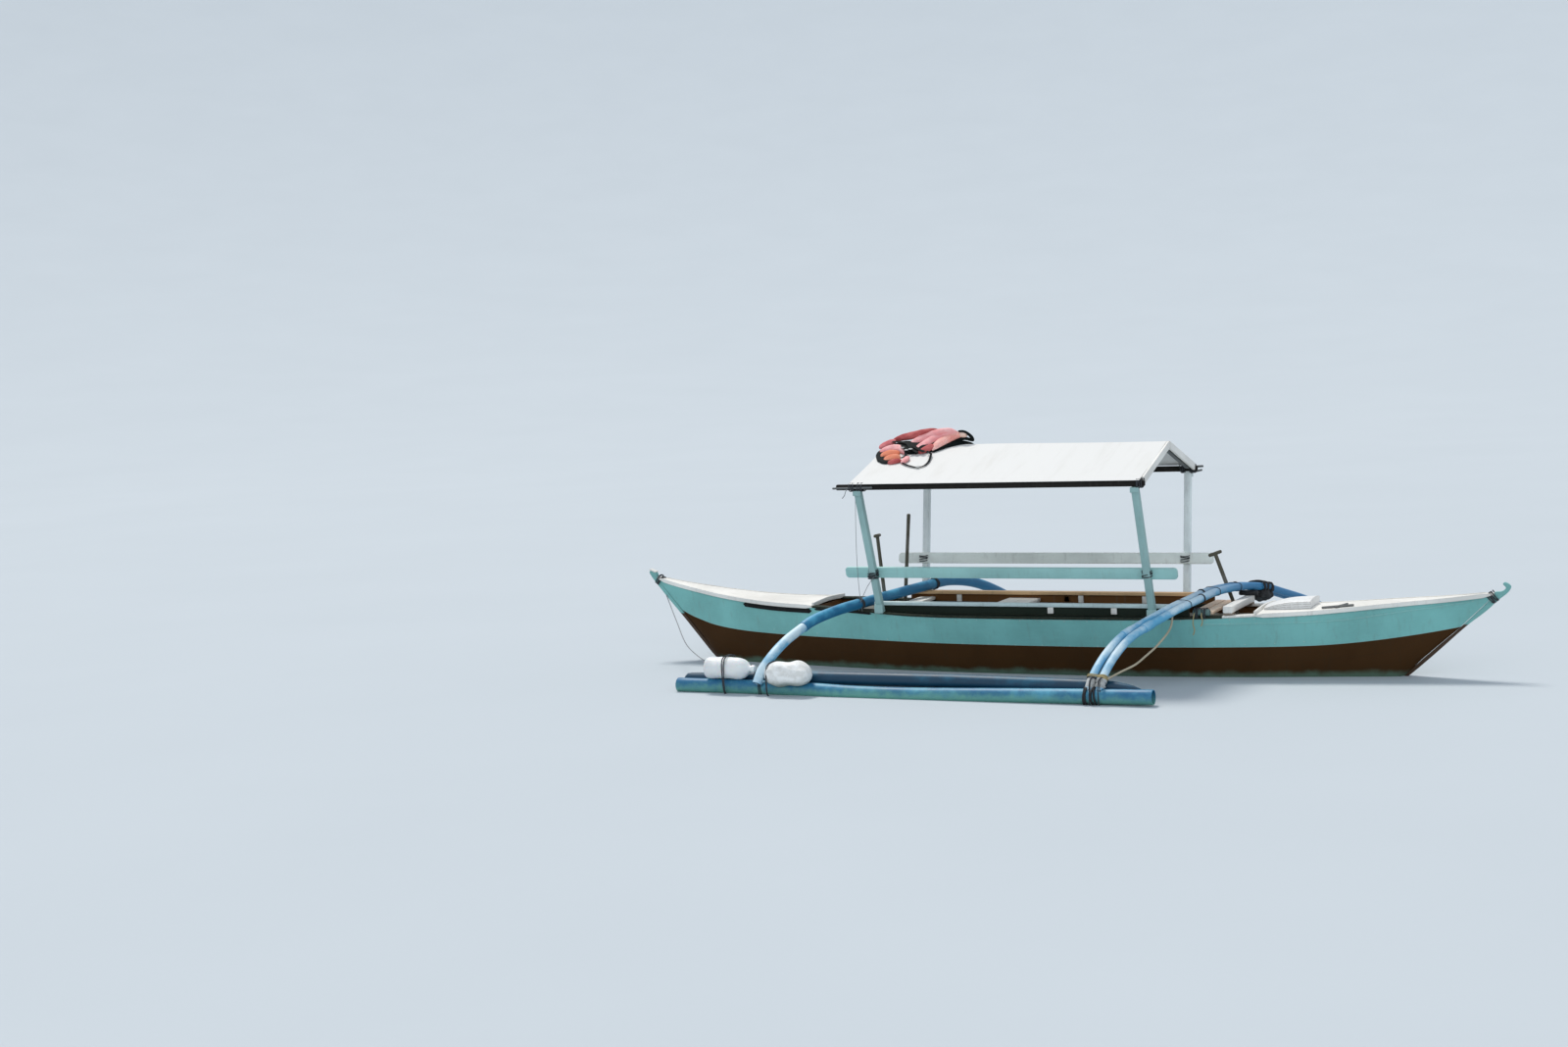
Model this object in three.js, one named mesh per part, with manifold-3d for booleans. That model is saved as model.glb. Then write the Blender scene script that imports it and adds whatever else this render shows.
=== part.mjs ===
// Outrigger canoe with a small gable canopy, millimetres.
// +X points to the bow, +Y to port, +Z up. The origin is on the waterline amidships.
import * as THREE from 'three';
import { mergeVertices } from 'three/addons/utils/BufferGeometryUtils.js';
import Module from 'manifold-3d';

const wasm = await Module();
wasm.setup();

// Driving dimensions
const GAP = 0.35;
const SIDE_PLANK = 20;
const SHELL = 26;
const DECK_T = 18;
const DECK_CROWN = 14;
const DECK_AFT = -1700;
const DECK_FORE = 1770;
const CAP_T = 16;
const CAP_IN = 300;
const COAM_IN = 338;
const COAM_OUT = 360;
const COAM_AFT = -1130;
const COAM_FORE = 1320;
const COAM_TOP = 490;
const RAIL_TOP = 530;
const RAIL_IN = 318;
const RAIL_OUT = 374;
const RAIL_FORE = 1312;
const POST = 50;
const POST_FOOT_Y = 438;
const POST_HEAD_Y = 683;
const EAVE_Y = 683;
const EAVE_Z = 1409;
const EAVE_H = 42;
const RIDGE_TOP = 1668;
const ROOF_AFT = -1150;
const ROOF_FORE = 1085;
const ROOF_EDGE_Y = 722;
const BOARD_Z = 761;
const BOARD_H = 84;
const FLOAT_Y = 1490;
const FLOAT_Z = 45;
const FLOAT_R = 52;
const FLOAT2_R = 50;
const BOOM_R = 40;
const SLEEVE_R = 35;
const POLE_R = 28;
const POLE_STEP = 73.3;

// Colours from the photograph, with roughness and metalness
const LOOK = {
  bottom: [0x4a2420, 0.75, 0],
  teal: [0x5f9d98, 0.6, 0],
  white: [0xe4e2da, 0.55, 0],
  cream: [0xcfc9b4, 0.6, 0],
  inner: [0x6b4a33, 0.8, 0],
  wood: [0x8a6d4a, 0.75, 0],
  darkWood: [0x3d3a28, 0.7, 0],
  black: [0x17181a, 0.7, 0],
  grey: [0x6d7274, 0.7, 0],
  blue: [0x2f6fb0, 0.45, 0],
  paleBlue: [0x86aecb, 0.5, 0],
  palePipe: [0xa9b9b8, 0.5, 0],
  jug: [0xe9ecea, 0.4, 0],
  rope: [0xb59a6c, 0.9, 0],
  line: [0x8d8f88, 0.9, 0],
  jacket: [0xc97a83, 0.85, 0],
};

const root = new THREE.Group();

function add(name, geometry, look, position = [0, 0, 0], turn = [0, 0, 0]) {
  const [color, roughness, metalness] = LOOK[look];
  const material = new THREE.MeshStandardMaterial({ color, roughness, metalness });
  const mesh = new THREE.Mesh(geometry, material);
  mesh.name = name;
  mesh.position.set(...position);
  mesh.rotation.set(...turn);
  root.add(mesh);
  return mesh;
}

// Closed mesh from rings of points that all have the same count; each ring's ends are capped
function loft(rings) {
  const n = rings[0].length;
  const positions = rings.flat(2);
  const index = [];
  for (let i = 0; i + 1 < rings.length; i += 1) {
    for (let j = 0; j < n; j += 1) {
      const a = i * n + j;
      const b = i * n + (j + 1) % n;
      index.push(a, b, b + n, a, b + n, a + n);
    }
  }
  const across = (a, b) => rings[0].map((p) => new THREE.Vector2(p[a], p[b]));
  const area = (a, b) => Math.abs(THREE.ShapeUtils.area(across(a, b)));
  const planes = [[1, 2], [2, 0], [0, 1]];
  const [u, v] = planes.reduce((best, plane) => (area(...plane) > area(...best) ? plane : best));
  const last = (rings.length - 1) * n;
  [[rings[0], 0, true], [rings[rings.length - 1], last, false]].forEach(([ring, start, first]) => {
    const flat = ring.map((p) => new THREE.Vector2(p[u], p[v]));
    const turned = THREE.ShapeUtils.area(flat) < 0;
    THREE.ShapeUtils.triangulateShape(flat, []).forEach(([a, b, c]) => {
      const face = [start + a, start + b, start + c];
      index.push(...(turned === first ? face : face.reverse()));
    });
  });
  return outward(positions, index);
}

// Signed volume decides whether the faces must be turned
function outward(positions, index) {
  let volume = 0;
  const at = (i) => new THREE.Vector3(positions[3 * i], positions[3 * i + 1], positions[3 * i + 2]);
  for (let i = 0; i < index.length; i += 3) {
    const a = at(index[i]);
    const b = at(index[i + 1]);
    const c = at(index[i + 2]);
    volume += a.dot(b.cross(c));
  }
  const faces = volume < 0 ? index.slice().reverse() : index;
  const geometry = new THREE.BufferGeometry();
  geometry.setAttribute('position', new THREE.Float32BufferAttribute(positions, 3));
  geometry.setIndex(faces);
  return geometry;
}

// Round bar along a curve; profile rows are [share of length, radius], a zero radius is a pole
function sweep(points, profile, sides = 16) {
  const curve = new THREE.CatmullRomCurve3(points.map((p) => new THREE.Vector3(...p)), false, 'centripetal');
  curve.arcLengthDivisions = 400;
  const steps = 400;
  const frames = [];
  let normal = null;
  for (let i = 0; i <= steps; i += 1) {
    const tangent = curve.getTangentAt(i / steps);
    if (normal === null) {
      normal = Math.abs(tangent.z) < 0.9 ? new THREE.Vector3(0, 0, 1) : new THREE.Vector3(1, 0, 0);
    }
    normal = normal.clone().addScaledVector(tangent, -normal.dot(tangent)).normalize();
    frames.push([normal, tangent.clone().cross(normal)]);
  }
  const positions = [];
  const rings = profile.map(([u, r]) => {
    const start = positions.length / 3;
    const centre = curve.getPointAt(u);
    const [a, b] = frames[Math.round(u * steps)];
    const count = r === 0 ? 1 : sides;
    for (let j = 0; j < count; j += 1) {
      const angle = (2 * Math.PI * j) / sides;
      const p = centre.clone().addScaledVector(a, r * Math.cos(angle)).addScaledVector(b, r * Math.sin(angle));
      positions.push(p.x, p.y, p.z);
    }
    return [start, count];
  });
  const index = [];
  for (let i = 0; i + 1 < rings.length; i += 1) {
    const [s, m] = rings[i];
    const [t, k] = rings[i + 1];
    for (let j = 0; j < sides; j += 1) {
      const q = (j + 1) % sides;
      if (m === 1) {
        index.push(s, t + q, t + j);
      } else if (k === 1) {
        index.push(s + j, s + q, t);
      } else {
        index.push(s + j, s + q, t + q, s + j, t + q, t + j);
      }
    }
  }
  return outward(positions, index);
}

// Even profile of one radius with flat ends
function bar(points, radius, steps, sides = 16) {
  const rows = [[0, 0]];
  for (let i = 0; i <= steps; i += 1) {
    rows.push([i / steps, radius]);
  }
  rows.push([1, 0]);
  return sweep(points, rows, sides);
}

function box(x0, x1, y0, y1, z0, z1) {
  const geometry = new THREE.BoxGeometry(x1 - x0, y1 - y0, z1 - z0);
  geometry.translate((x0 + x1) / 2, (y0 + y1) / 2, (z0 + z1) / 2);
  return geometry;
}

function solid(geometry) {
  const bare = geometry.clone();
  bare.deleteAttribute('normal');
  bare.deleteAttribute('uv');
  const merged = mergeVertices(bare, 1e-4);
  return new wasm.Manifold(new wasm.Mesh({
    numProp: 3,
    vertProperties: new Float32Array(merged.attributes.position.array),
    triVerts: new Uint32Array(merged.index.array),
  }));
}

function fromSolid(body) {
  const mesh = body.getMesh();
  const geometry = new THREE.BufferGeometry();
  geometry.setAttribute('position', new THREE.Float32BufferAttribute(mesh.vertProperties, 3));
  geometry.setIndex(Array.from(mesh.triVerts));
  return geometry;
}

const cut = (geometry, ...tools) => fromSolid(tools.reduce((s, t) => s.subtract(solid(t)), solid(geometry)));
const keep = (geometry, tool) => fromSolid(solid(geometry).intersect(solid(tool)));
const join = (geometry, ...more) => fromSolid(more.reduce((s, t) => s.add(solid(t)), solid(geometry)));

// Mirror to the other side of the boat
function mirror(geometry) {
  const p = Array.from(geometry.attributes.position.array, (v, i) => (i % 3 === 1 ? -v : v));
  const index = geometry.index ? Array.from(geometry.index.array) : Array.from({ length: p.length / 3 }, (_, i) => i);
  return outward(p, index);
}

// Hull lines. Sheer rows: x, half breadth, height. Chine rows: x, half breadth, height, keel height
const SHEER = [
  [-3225, 15, 650], [-3100, 42, 618], [-2950, 74, 588], [-2800, 106, 562], [-2600, 145, 530],
  [-2400, 182, 505], [-2200, 216, 486], [-2000, 248, 474], [-1700, 295, 466], [-1450, 338, 460],
  [-1200, 378, 449], [-900, 418, 432], [-600, 440, 425], [-300, 450, 424], [0, 453, 424],
  [300, 450, 424], [600, 440, 424], [900, 422, 424], [1200, 392, 427], [1450, 358, 433],
  [1770, 305, 443], [2000, 262, 452], [2200, 224, 463], [2400, 187, 480], [2600, 150, 499],
  [2800, 114, 517], [3000, 79, 534], [3200, 43, 555], [3352, 15, 574],
];
const CHINE = [
  [-3005, 14, 394, 390], [-2910, 32, 354, 280], [-2800, 54, 320, 152], [-2690, 77, 292, 20],
  [-2540, 108, 270, -66], [-2360, 142, 254, -108], [-2180, 176, 246, -132], [-1990, 208, 240, -148],
  [-1700, 258, 235, -160], [-1450, 298, 233, -167], [-1200, 332, 230, -170], [-900, 366, 226, -170],
  [-600, 388, 223, -170], [-300, 397, 221, -170], [0, 400, 220, -170], [300, 397, 219, -170],
  [600, 388, 218, -170], [900, 368, 218, -170], [1200, 338, 219, -170], [1450, 306, 219, -168],
  [1770, 252, 220, -160], [1985, 208, 222, -148], [2175, 172, 228, -132], [2360, 134, 240, -110],
  [2535, 103, 258, -84], [2690, 75, 278, -38], [2850, 50, 302, 114], [3000, 28, 328, 246],
  [3122, 14, 352, 350],
];
const FLARE = [[1, 0], [0.965, 0.3], [0.885, 0.56], [0.72, 0.78], [0.45, 0.93], [0.14, 1]];

// Straight reading between table rows
function read(table, x, column) {
  const next = table.findIndex((row) => row[0] > x);
  const i = next < 0 ? table.length - 2 : Math.max(0, next - 1);
  const [a, b] = [table[i], table[i + 1]];
  return a[column] + ((b[column] - a[column]) * (x - a[0])) / (b[0] - a[0]);
}
const half = (x) => read(SHEER, x, 1);
const sheer = (x) => read(SHEER, x, 2);
const chineHalf = (x) => read(CHINE, x, 1);
const chineZ = (x) => read(CHINE, x, 2);
const keel = (x) => read(CHINE, x, 3);
const both = (side) => side.concat(side.slice().reverse().map(([y, z]) => [-y, z]));
const between = (table, a, b) => [a, ...table.map((r) => r[0]).filter((x) => x > a + 1 && x < b - 1), b];

// Lower hull: solid at the decked ends, hollowed between the bulkheads
const outerRings = CHINE.map(([x, b, top, low]) => {
  const side = FLARE.map(([f, d]) => [b * f, top - Math.max(top - low, 3) * d]);
  return both(side).map(([y, z]) => [x, y, z]);
});
const cavityRing = (x) => {
  const b = chineHalf(x) - SHELL;
  const top = chineZ(x);
  const low = keel(x) + 34;
  const side = FLARE.map(([f, d]) => [b * f, top - (top - low) * d]);
  side.unshift([b, top + 40]);
  return both(side).map(([y, z]) => [x, y, z]);
};
const cavityXs = between(CHINE, DECK_AFT, DECK_FORE);
// Bulkheads rise from the solid ends and close the topsides under the deck edges
function bulkhead(x0, x1) {
  const ring = (x) => {
    const b = Math.min(half(x0), half(x1)) - SIDE_PLANK - 0.5;
    const c = Math.min(chineHalf(x0), chineHalf(x1)) - SIDE_PLANK - 2.5;
    const low = Math.min(chineZ(x0), chineZ(x1)) - 8;
    return both([[b, Math.min(sheer(x0), sheer(x1)) - GAP], [c, low]]).map(([y, z]) => [x, y, z]);
  };
  return loft([ring(x0), ring(x1)]);
}
const ends = [bulkhead(DECK_AFT - 20, DECK_AFT - 4), bulkhead(DECK_FORE + 4, DECK_FORE + 20)];
const bottom = join(cut(loft(outerRings), loft(cavityXs.map(cavityRing))), ...ends);

// The bottom is built up of a solid log at each end, a keel trough and a bilge plank on each side
const [LOG_AFT, LOG_FORE, BILGE_Z] = [DECK_AFT, DECK_FORE, -20];
const HAIR = 0.15;
const part = (x0, x1, y0, y1, z0, z1) => keep(bottom, box(x0, x1, y0, y1, z0, z1));
add('hull_log_aft', part(-3600, LOG_AFT - HAIR, -600, 600, -400, 800), 'bottom');
add('hull_log_fore', part(LOG_FORE + HAIR, 3600, -600, 600, -400, 800), 'bottom');
add('lower_hull', part(LOG_AFT + HAIR, LOG_FORE - HAIR, -600, 600, -400, BILGE_Z - HAIR), 'bottom');
add('bilge_plank_port', part(LOG_AFT + HAIR, LOG_FORE - HAIR, 0.5, 600, BILGE_Z + HAIR, 800), 'bottom');
add('bilge_plank_starboard', part(LOG_AFT + HAIR, LOG_FORE - HAIR, -600, -0.5, BILGE_Z + HAIR, 800), 'bottom');

// Topside planks stand on the chine
const topside = loft(SHEER.map(([x, b, z], i) => {
  const [cx, cb, cz] = CHINE[i];
  const inTop = Math.max(b - SIDE_PLANK, 0.6);
  const inLow = Math.max(cb - SIDE_PLANK, 0.6);
  return [[cx, cb, cz + GAP], [x, b, z], [x, inTop, z], [cx, inLow, cz + GAP]];
}));
add('topside_port', topside, 'teal');
add('topside_starboard', mirror(topside), 'teal');

// Stems: flat profiles in the centre plane
function plate(profile, thickness) {
  const shape = new THREE.Shape(profile.map(([x, z]) => new THREE.Vector2(x, z)));
  const geometry = new THREE.ExtrudeGeometry(shape, { depth: thickness, bevelEnabled: false });
  geometry.rotateX(Math.PI / 2);
  geometry.translate(0, thickness / 2, 0);
  return geometry;
}
add('bow_stem', plate([
  [2535.5, -85], [2690.5, -39.2], [2850.5, 112.6], [3000.5, 244.8], [3122.5, 348.5], [3352.4, 572.5],
  [3352.4, 600], [3392, 600], [3416, 610], [3430, 628], [3404, 652], [3420, 668], [3454, 648],
  [3463, 628], [3440, 591], [3377, 543], [3294, 462], [3164, 364], [2960, 172], [2766, 0],
  [2640, -84], [2535.5, -110],
], 30), 'teal');
add('stern_stem', plate([
  [-2540.5, -67.5], [-2690.5, 18.8], [-2800.5, 150.6], [-2910.5, 278.6], [-3005.5, 389], [-3225.4, 649.5],
  [-3225.4, 690], [-3246, 712], [-3284, 724], [-3304, 702], [-3262, 642], [-3150, 508], [-3028, 374],
  [-2850, 165], [-2712, 2], [-2540.5, -96],
], 34), 'teal');

// Decks: crowned plates on the topside edges
const deckSide = (x) => {
  const b = half(x) + 6;
  const z = sheer(x) + GAP;
  const c = DECK_CROWN * Math.min(1, half(x) / 200);
  return { b, z, c };
};
const deckTop = (x, y) => {
  const { b, z, c } = deckSide(x);
  const t = Math.min(1, Math.abs(y) / b);
  return z + DECK_T + c * (t < 0.5 ? 1 - 0.5 * t : 1.5 * (1 - t));
};
const deckRing = (x) => {
  const { b, z, c } = deckSide(x);
  const y = [-b, -b / 2, 0, b / 2, b];
  const low = y.map((v, i) => [x, v, z + c * [0, 0.75, 1, 0.75, 0][i]]);
  const high = y.map((v, i) => [x, v, z + DECK_T + c * [0, 0.75, 1, 0.75, 0][i]]);
  return low.concat(high.reverse());
};
add('aft_deck', loft(between(SHEER, -3225, DECK_AFT).map(deckRing)), 'white');
add('fore_deck', loft(between(SHEER, DECK_FORE, 3352).map(deckRing)), 'white');

// Frames follow the inside of the hull and carry the floor boards
const FRAME_X = [-1240, -760, 260, 760];
const FLOOR_Z = -95;
const frameRing = (x) => {
  const b = chineHalf(x) - SHELL - 0.6;
  const top = chineZ(x);
  const low = keel(x) + 34.6;
  const outer = [[half(x) - SIDE_PLANK - 0.5, sheer(x) - GAP], [chineHalf(x) - SIDE_PLANK - 7, top + 1]];
  FLARE.slice(1).forEach(([f, d]) => outer.push([b * f, top + 0.6 - (top - low) * d]));
  const inner = [[half(x) - 56, sheer(x) - GAP], [chineHalf(x) - 62, top], [b * 0.9 - 34, 60], [190, -20], [150, FLOOR_Z]];
  const right = outer.concat(outer.slice().reverse().map(([y, z]) => [-y, z]));
  const left = inner.map(([y, z]) => [-y, z]).concat(inner.slice().reverse());
  return right.concat(left).map(([y, z]) => [x, y, z]);
};
FRAME_X.forEach((x, i) => {
  add(`frame_${i + 1}`, loft([frameRing(x - 17), frameRing(x + 17)]), 'cream');
});
add('floor_board', box(-1300, 1300, -150, 150, FLOOR_Z + GAP, FLOOR_Z + 14), 'inner');

// Gunwale boards lie on the topsides between the decks
const capTop = (x) => sheer(x) + GAP + CAP_T;
const capRing = (x) => {
  const inner = Math.min(CAP_IN, half(x) - 60);
  const outer = half(x) + 8;
  const z = sheer(x) + GAP;
  return [[x, inner, z], [x, outer, z], [x, outer, z + CAP_T], [x, inner, z + CAP_T]];
};
const gunwale = loft(between(SHEER, DECK_AFT + 1, DECK_FORE - 1).map(capRing));

// Coamings stand on the gunwale boards, and each carries a rail cap
const coamRing = (x) => [
  [x, COAM_IN, capTop(x) + GAP], [x, COAM_OUT, capTop(x) + GAP], [x, COAM_OUT, COAM_TOP], [x, COAM_IN, COAM_TOP],
];
const coaming = loft(between(SHEER, COAM_AFT, COAM_FORE).map(coamRing));
const rail = box(COAM_AFT - 8, RAIL_FORE, RAIL_IN, RAIL_OUT, COAM_TOP - 1, RAIL_TOP);

// Outrigger booms. The frame is racked: the near feet lie further aft than the far ones
const AFT_BOOM = [
  [-1560, -1566, 84], [-1542, -1520, 168], [-1505, -1420, 262], [-1478, -1240, 345], [-1438, -1050, 412],
  [-1402, -911, 456], [-1318, -659, 499], [-1228, -340, 521], [-1102, 0, 548], [-985, 345, 569],
  [-903, 600, 576], [-803, 880, 526], [-715, 1110, 436], [-635, 1320, 322], [-580, 1460, 205],
  [-552, 1530, 140], [-540, 1566, 78],
];
const FORE_POLE = [
  [916, -1492, 88], [926, -1440, 165], [938, -1385, 216], [964, -1250, 300], [1012, -1097, 384],
  [1068, -947, 434], [1157, -708, 492], [1216, -545, 528], [1283, -345, 558.4], [1372, -110, 596],
  [1494, 204, 597], [1586, 448, 563], [1660, 640, 505], [1781, 972, 398], [1862, 1200, 300],
  [1925, 1385, 205], [1950, 1445, 155], [1962, 1492, 88],
];
const smooth = (points, n) => new THREE.CatmullRomCurve3(points.map((p) => new THREE.Vector3(...p)), false, 'centripetal')
  .getPoints(n).map((p) => [p.x, p.y, p.z]);
const boomRun = smooth(AFT_BOOM, 160);
const [NEAR_JOINT, FAR_JOINT] = [42, 126];
const nearRun = boomRun.slice(0, NEAR_JOINT + 4);
const farRun = boomRun.slice(FAR_JOINT - 3);
const nearSleeve = bar(nearRun, SLEEVE_R, 26);
const farSleeve = bar(farRun, SLEEVE_R, 22);
const stretched = (run, back) => {
  const line = back ? run.slice().reverse() : run;
  const [a, b] = [line[line.length - 2], line[line.length - 1]];
  const step = b.map((c, i) => c + (c - a[i]) * 0.02);
  return line.slice(0, -1).concat([step]);
};
const fatSleeves = [bar(stretched(nearRun, false), SLEEVE_R + 0.4, 26), bar(stretched(farRun, true), SLEEVE_R + 0.4, 22)];
const boomMiddle = boomRun.slice(NEAR_JOINT, FAR_JOINT + 1);
const polePath = (step) => FORE_POLE.map(([x, y, z]) => [x + step, y, z]);
const fatBoom = bar(boomMiddle, BOOM_R + 0.4, 44);
const fatPoles = [0, POLE_STEP].map((step) => bar(polePath(step), POLE_R + 0.4, 60));

add('gunwale_port', gunwale, 'cream');
add('gunwale_starboard', cut(mirror(gunwale), fatBoom), 'cream');
const cockpitSide = join(coaming, rail);
add('coaming_rail_port', cut(cockpitSide, fatBoom), 'cream');
add('coaming_rail_starboard', cut(mirror(cockpitSide), ...fatPoles), 'cream');

// Thwarts rest on the inner edge of the gunwale boards
const THWARTS = [['thwart_aft', -985, 125, 24], ['thwart_middle', -179, 256, 38], ['thwart_fore', 1085, 120, 24]];
THWARTS.forEach(([name, x, width, thick]) => {
  const z = Math.max(capTop(x - width / 2), capTop(x + width / 2)) + GAP;
  add(name, box(x - width / 2, x + width / 2, -COAM_IN + 1, COAM_IN - 1, z, z + thick), 'inner');
});
const BEAM_TOP = 520;
add('cross_beam', box(1545, 1612, -338, 322, capTop(1612) + GAP, BEAM_TOP), 'white');

// Canopy posts stand on the gunwale boards and lean outward under the eaves
const postSlope = (POST_HEAD_Y - POST_FOOT_Y) / (EAVE_Z - 440);
const POSTS = [['post_aft', -1050, -1092], ['post_fore', 1068, 1040]];
POSTS.forEach(([name, footX, headX]) => {
  const low = Math.max(capTop(footX - 25), capTop(footX + 25)) + GAP;
  const ring = (x, y, z) => {
    const h = POST / 2;
    return [[x - h, y - h, z], [x + h, y - h, z], [x + h, y + h, z], [x - h, y + h, z]];
  };
  const foot = ring(footX, POST_HEAD_Y - postSlope * (EAVE_Z - low), low);
  const head = ring(headX, POST_HEAD_Y, EAVE_Z - GAP);
  const post = loft([foot, head]);
  add(`${name}_port`, post, 'teal');
  add(`${name}_starboard`, mirror(post), 'teal');
});

// Roof frame
const slope = (1675.5 - 1458.5) / 683;
const roofLow = (y) => 1675.5 - slope * Math.abs(y);
const eave = box(-1262, 1112, EAVE_Y - 21, EAVE_Y + 21, EAVE_Z, EAVE_Z + EAVE_H);
add('eave_beam_port', eave, 'darkWood');
add('eave_beam_starboard', mirror(eave), 'darkWood');
add('ridge_beam', box(ROOF_AFT + 20, ROOF_FORE - 5, -20, 20, RIDGE_TOP - 44, RIDGE_TOP), 'wood');
const rafterRing = (x0, x1, y, top, depth) => [[x0, y, top - depth], [x1, y, top - depth], [x1, y, top], [x0, y, top]];
const rafter = loft([
  rafterRing(ROOF_AFT + 24, ROOF_AFT + 56, 20.4, roofLow(20.4) - 1.5, 36),
  rafterRing(ROOF_AFT + 24, ROOF_AFT + 56, 661.6, roofLow(661.6) - 1.5, 36),
]);
add('rafter_aft_port', rafter, 'grey');
add('rafter_aft_starboard', mirror(rafter), 'grey');

// One roof sheet folded over the ridge; the white end boards hang at the fore gable
const roofProfile = [[-ROOF_EDGE_Y, 0], [0, 0], [ROOF_EDGE_Y, 0], [ROOF_EDGE_Y, 10], [0, 10], [-ROOF_EDGE_Y, 10]];
const roofRing = (x) => roofProfile.map(([y, rise]) => [x, y, roofLow(y) + rise]);
add('roof_sheet', loft([roofRing(ROOF_AFT), roofRing(ROOF_FORE)]), 'white');
const endBoard = loft([
  rafterRing(ROOF_FORE + 0.4, ROOF_FORE + 18, 0.4, roofLow(0.4) + 9, 56),
  rafterRing(ROOF_FORE + 0.4, ROOF_FORE + 18, 657, roofLow(657) + 9, 56),
]);
add('end_board_port', endBoard, 'white');
add('end_board_starboard', mirror(endBoard), 'white');

// Side boards lie against the inner faces of the posts
const lean = Math.atan(postSlope);
const boardShape = new THREE.Shape();
const [b0, b1, bh] = [-1282, 1270, BOARD_H / 2];
boardShape.moveTo(b0 + 26, -bh);
boardShape.lineTo(b1 - 26, -bh);
boardShape.absarc(b1 - 26, -bh + 26, 26, -Math.PI / 2, 0);
boardShape.absarc(b1 - 26, bh - 26, 26, 0, Math.PI / 2);
boardShape.lineTo(b0 + 26, bh);
boardShape.absarc(b0 + 26, bh - 26, 26, Math.PI / 2, Math.PI);
boardShape.absarc(b0 + 26, -bh + 26, 26, Math.PI, Math.PI * 1.5);
const board = new THREE.ExtrudeGeometry(boardShape, { depth: 22, bevelEnabled: false, curveSegments: 5 });
board.translate(0, 0, -11);
board.rotateX(Math.PI / 2 - lean);
const postY = POST_HEAD_Y - postSlope * (EAVE_Z - BOARD_Z);
const inset = (POST / 2) * Math.cos(lean) + 11 + GAP;
board.translate(0, postY - inset * Math.cos(lean), BOARD_Z + inset * Math.sin(lean));
add('side_board_port', board, 'teal');
add('side_board_starboard', mirror(mergeVertices(board.deleteAttribute('uv').deleteAttribute('normal'))), 'teal');

// Floats: two pipes on each side, an outer one with open ends and an inner one with a tapered nose
const even = (a, b, n) => Array.from({ length: n + 1 }, (_, i) => a + ((b - a) * i) / n);
const FLOATS = [['near', -1, -2250, 1368], ['far', 1, -1300, 2318]];
const OUTER_ROWS = [
  [0.025, 0], [0.025, FLOAT_R - 7], [0, FLOAT_R - 7], ...even(0, 1, 30).map((u) => [u, FLOAT_R]),
  [1, FLOAT_R - 7], [0.975, FLOAT_R - 7], [0.975, 0],
];
const INNER_ROWS = [
  [0, 0], [0, 30], [0.006, 46], ...even(0.015, 0.88, 26).map((u) => [u, FLOAT2_R]), [0.94, 41],
  [0.98, 24], [0.995, 11], [1, 0],
];
// The pipes bend a little between the booms. Rows: share of length, height over FLOAT_Z
const OUTER_BEND = [[0, 2], [0.2, -1], [0.31, -9], [0.4, -20], [0.52, -20], [0.68, -7], [0.86, 7], [1, 15]];
const INNER_BEND = [[0, 25], [0.15, 45], [0.3, 62], [0.52, 69], [0.69, 63], [0.88, 59], [0.95, 57], [1, 41]];
const innerY = FLOAT_Y - 98.7;
const floatRuns = [];
const bent = (bend, a, b, y) => bend.map(([share, rise]) => [a + (b - a) * share, y, FLOAT_Z + rise]);
FLOATS.forEach(([name, side, x0, x1]) => {
  const outerRun = bent(OUTER_BEND, x0, x1, side * FLOAT_Y);
  const innerRun = bent(INNER_BEND, x0 + 12, x1 - 100, side * innerY);
  add(`float_outer_${name}`, sweep(outerRun, OUTER_ROWS, 20), 'blue');
  add(`float_inner_${name}`, sweep(innerRun, INNER_ROWS, 20), 'blue');
  floatRuns.push(outerRun, innerRun);
});
const fatFloats = floatRuns.map((run, i) => bar(run, (i % 2 ? FLOAT2_R : FLOAT_R) + 0.4, 30, 20));

add('boom_aft', cut(bar(boomMiddle, BOOM_R, 44), ...fatSleeves), 'blue');
add('boom_aft_sleeve_near', cut(nearSleeve, fatFloats[0], fatFloats[1]), 'palePipe');
add('boom_aft_sleeve_far', cut(farSleeve, fatFloats[2], fatFloats[3]), 'palePipe');
[0, POLE_STEP].forEach((step, i) => {
  add(`boom_fore_${i + 1}`, cut(bar(polePath(step), POLE_R, 60), ...fatFloats), 'paleBlue');
});

// Packing at the fore booms
add('boom_pad', cut(box(1500, 1650, 262, 318, BEAM_TOP + GAP, 575), ...fatPoles), 'black');
const chockZ = capTop(1456) + 25.4;
add('chock_pole', bar([[1334, -346, chockZ], [1395, -346, chockZ], [1456, -346, chockZ]], 25, 2, 14), 'grey');

// Planked hatch cover on the fore deck
const hatchRing = (x, top) => {
  const ys = [-150, -105, -60, 0, 60, 105, 150];
  const low = ys.map((y) => [x, y, deckTop(x, y) + 1.1]);
  const high = ys.map((y, i) => [x, y, top + [0, 9, 13, 15, 13, 9, 0][i]]);
  return low.concat(high.reverse());
};
add('hatch_cover', loft([
  hatchRing(1792, 486), hatchRing(1868, 509), hatchRing(1948, 526), hatchRing(2032, 534), hatchRing(2125, 538),
]), 'white');

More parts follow.
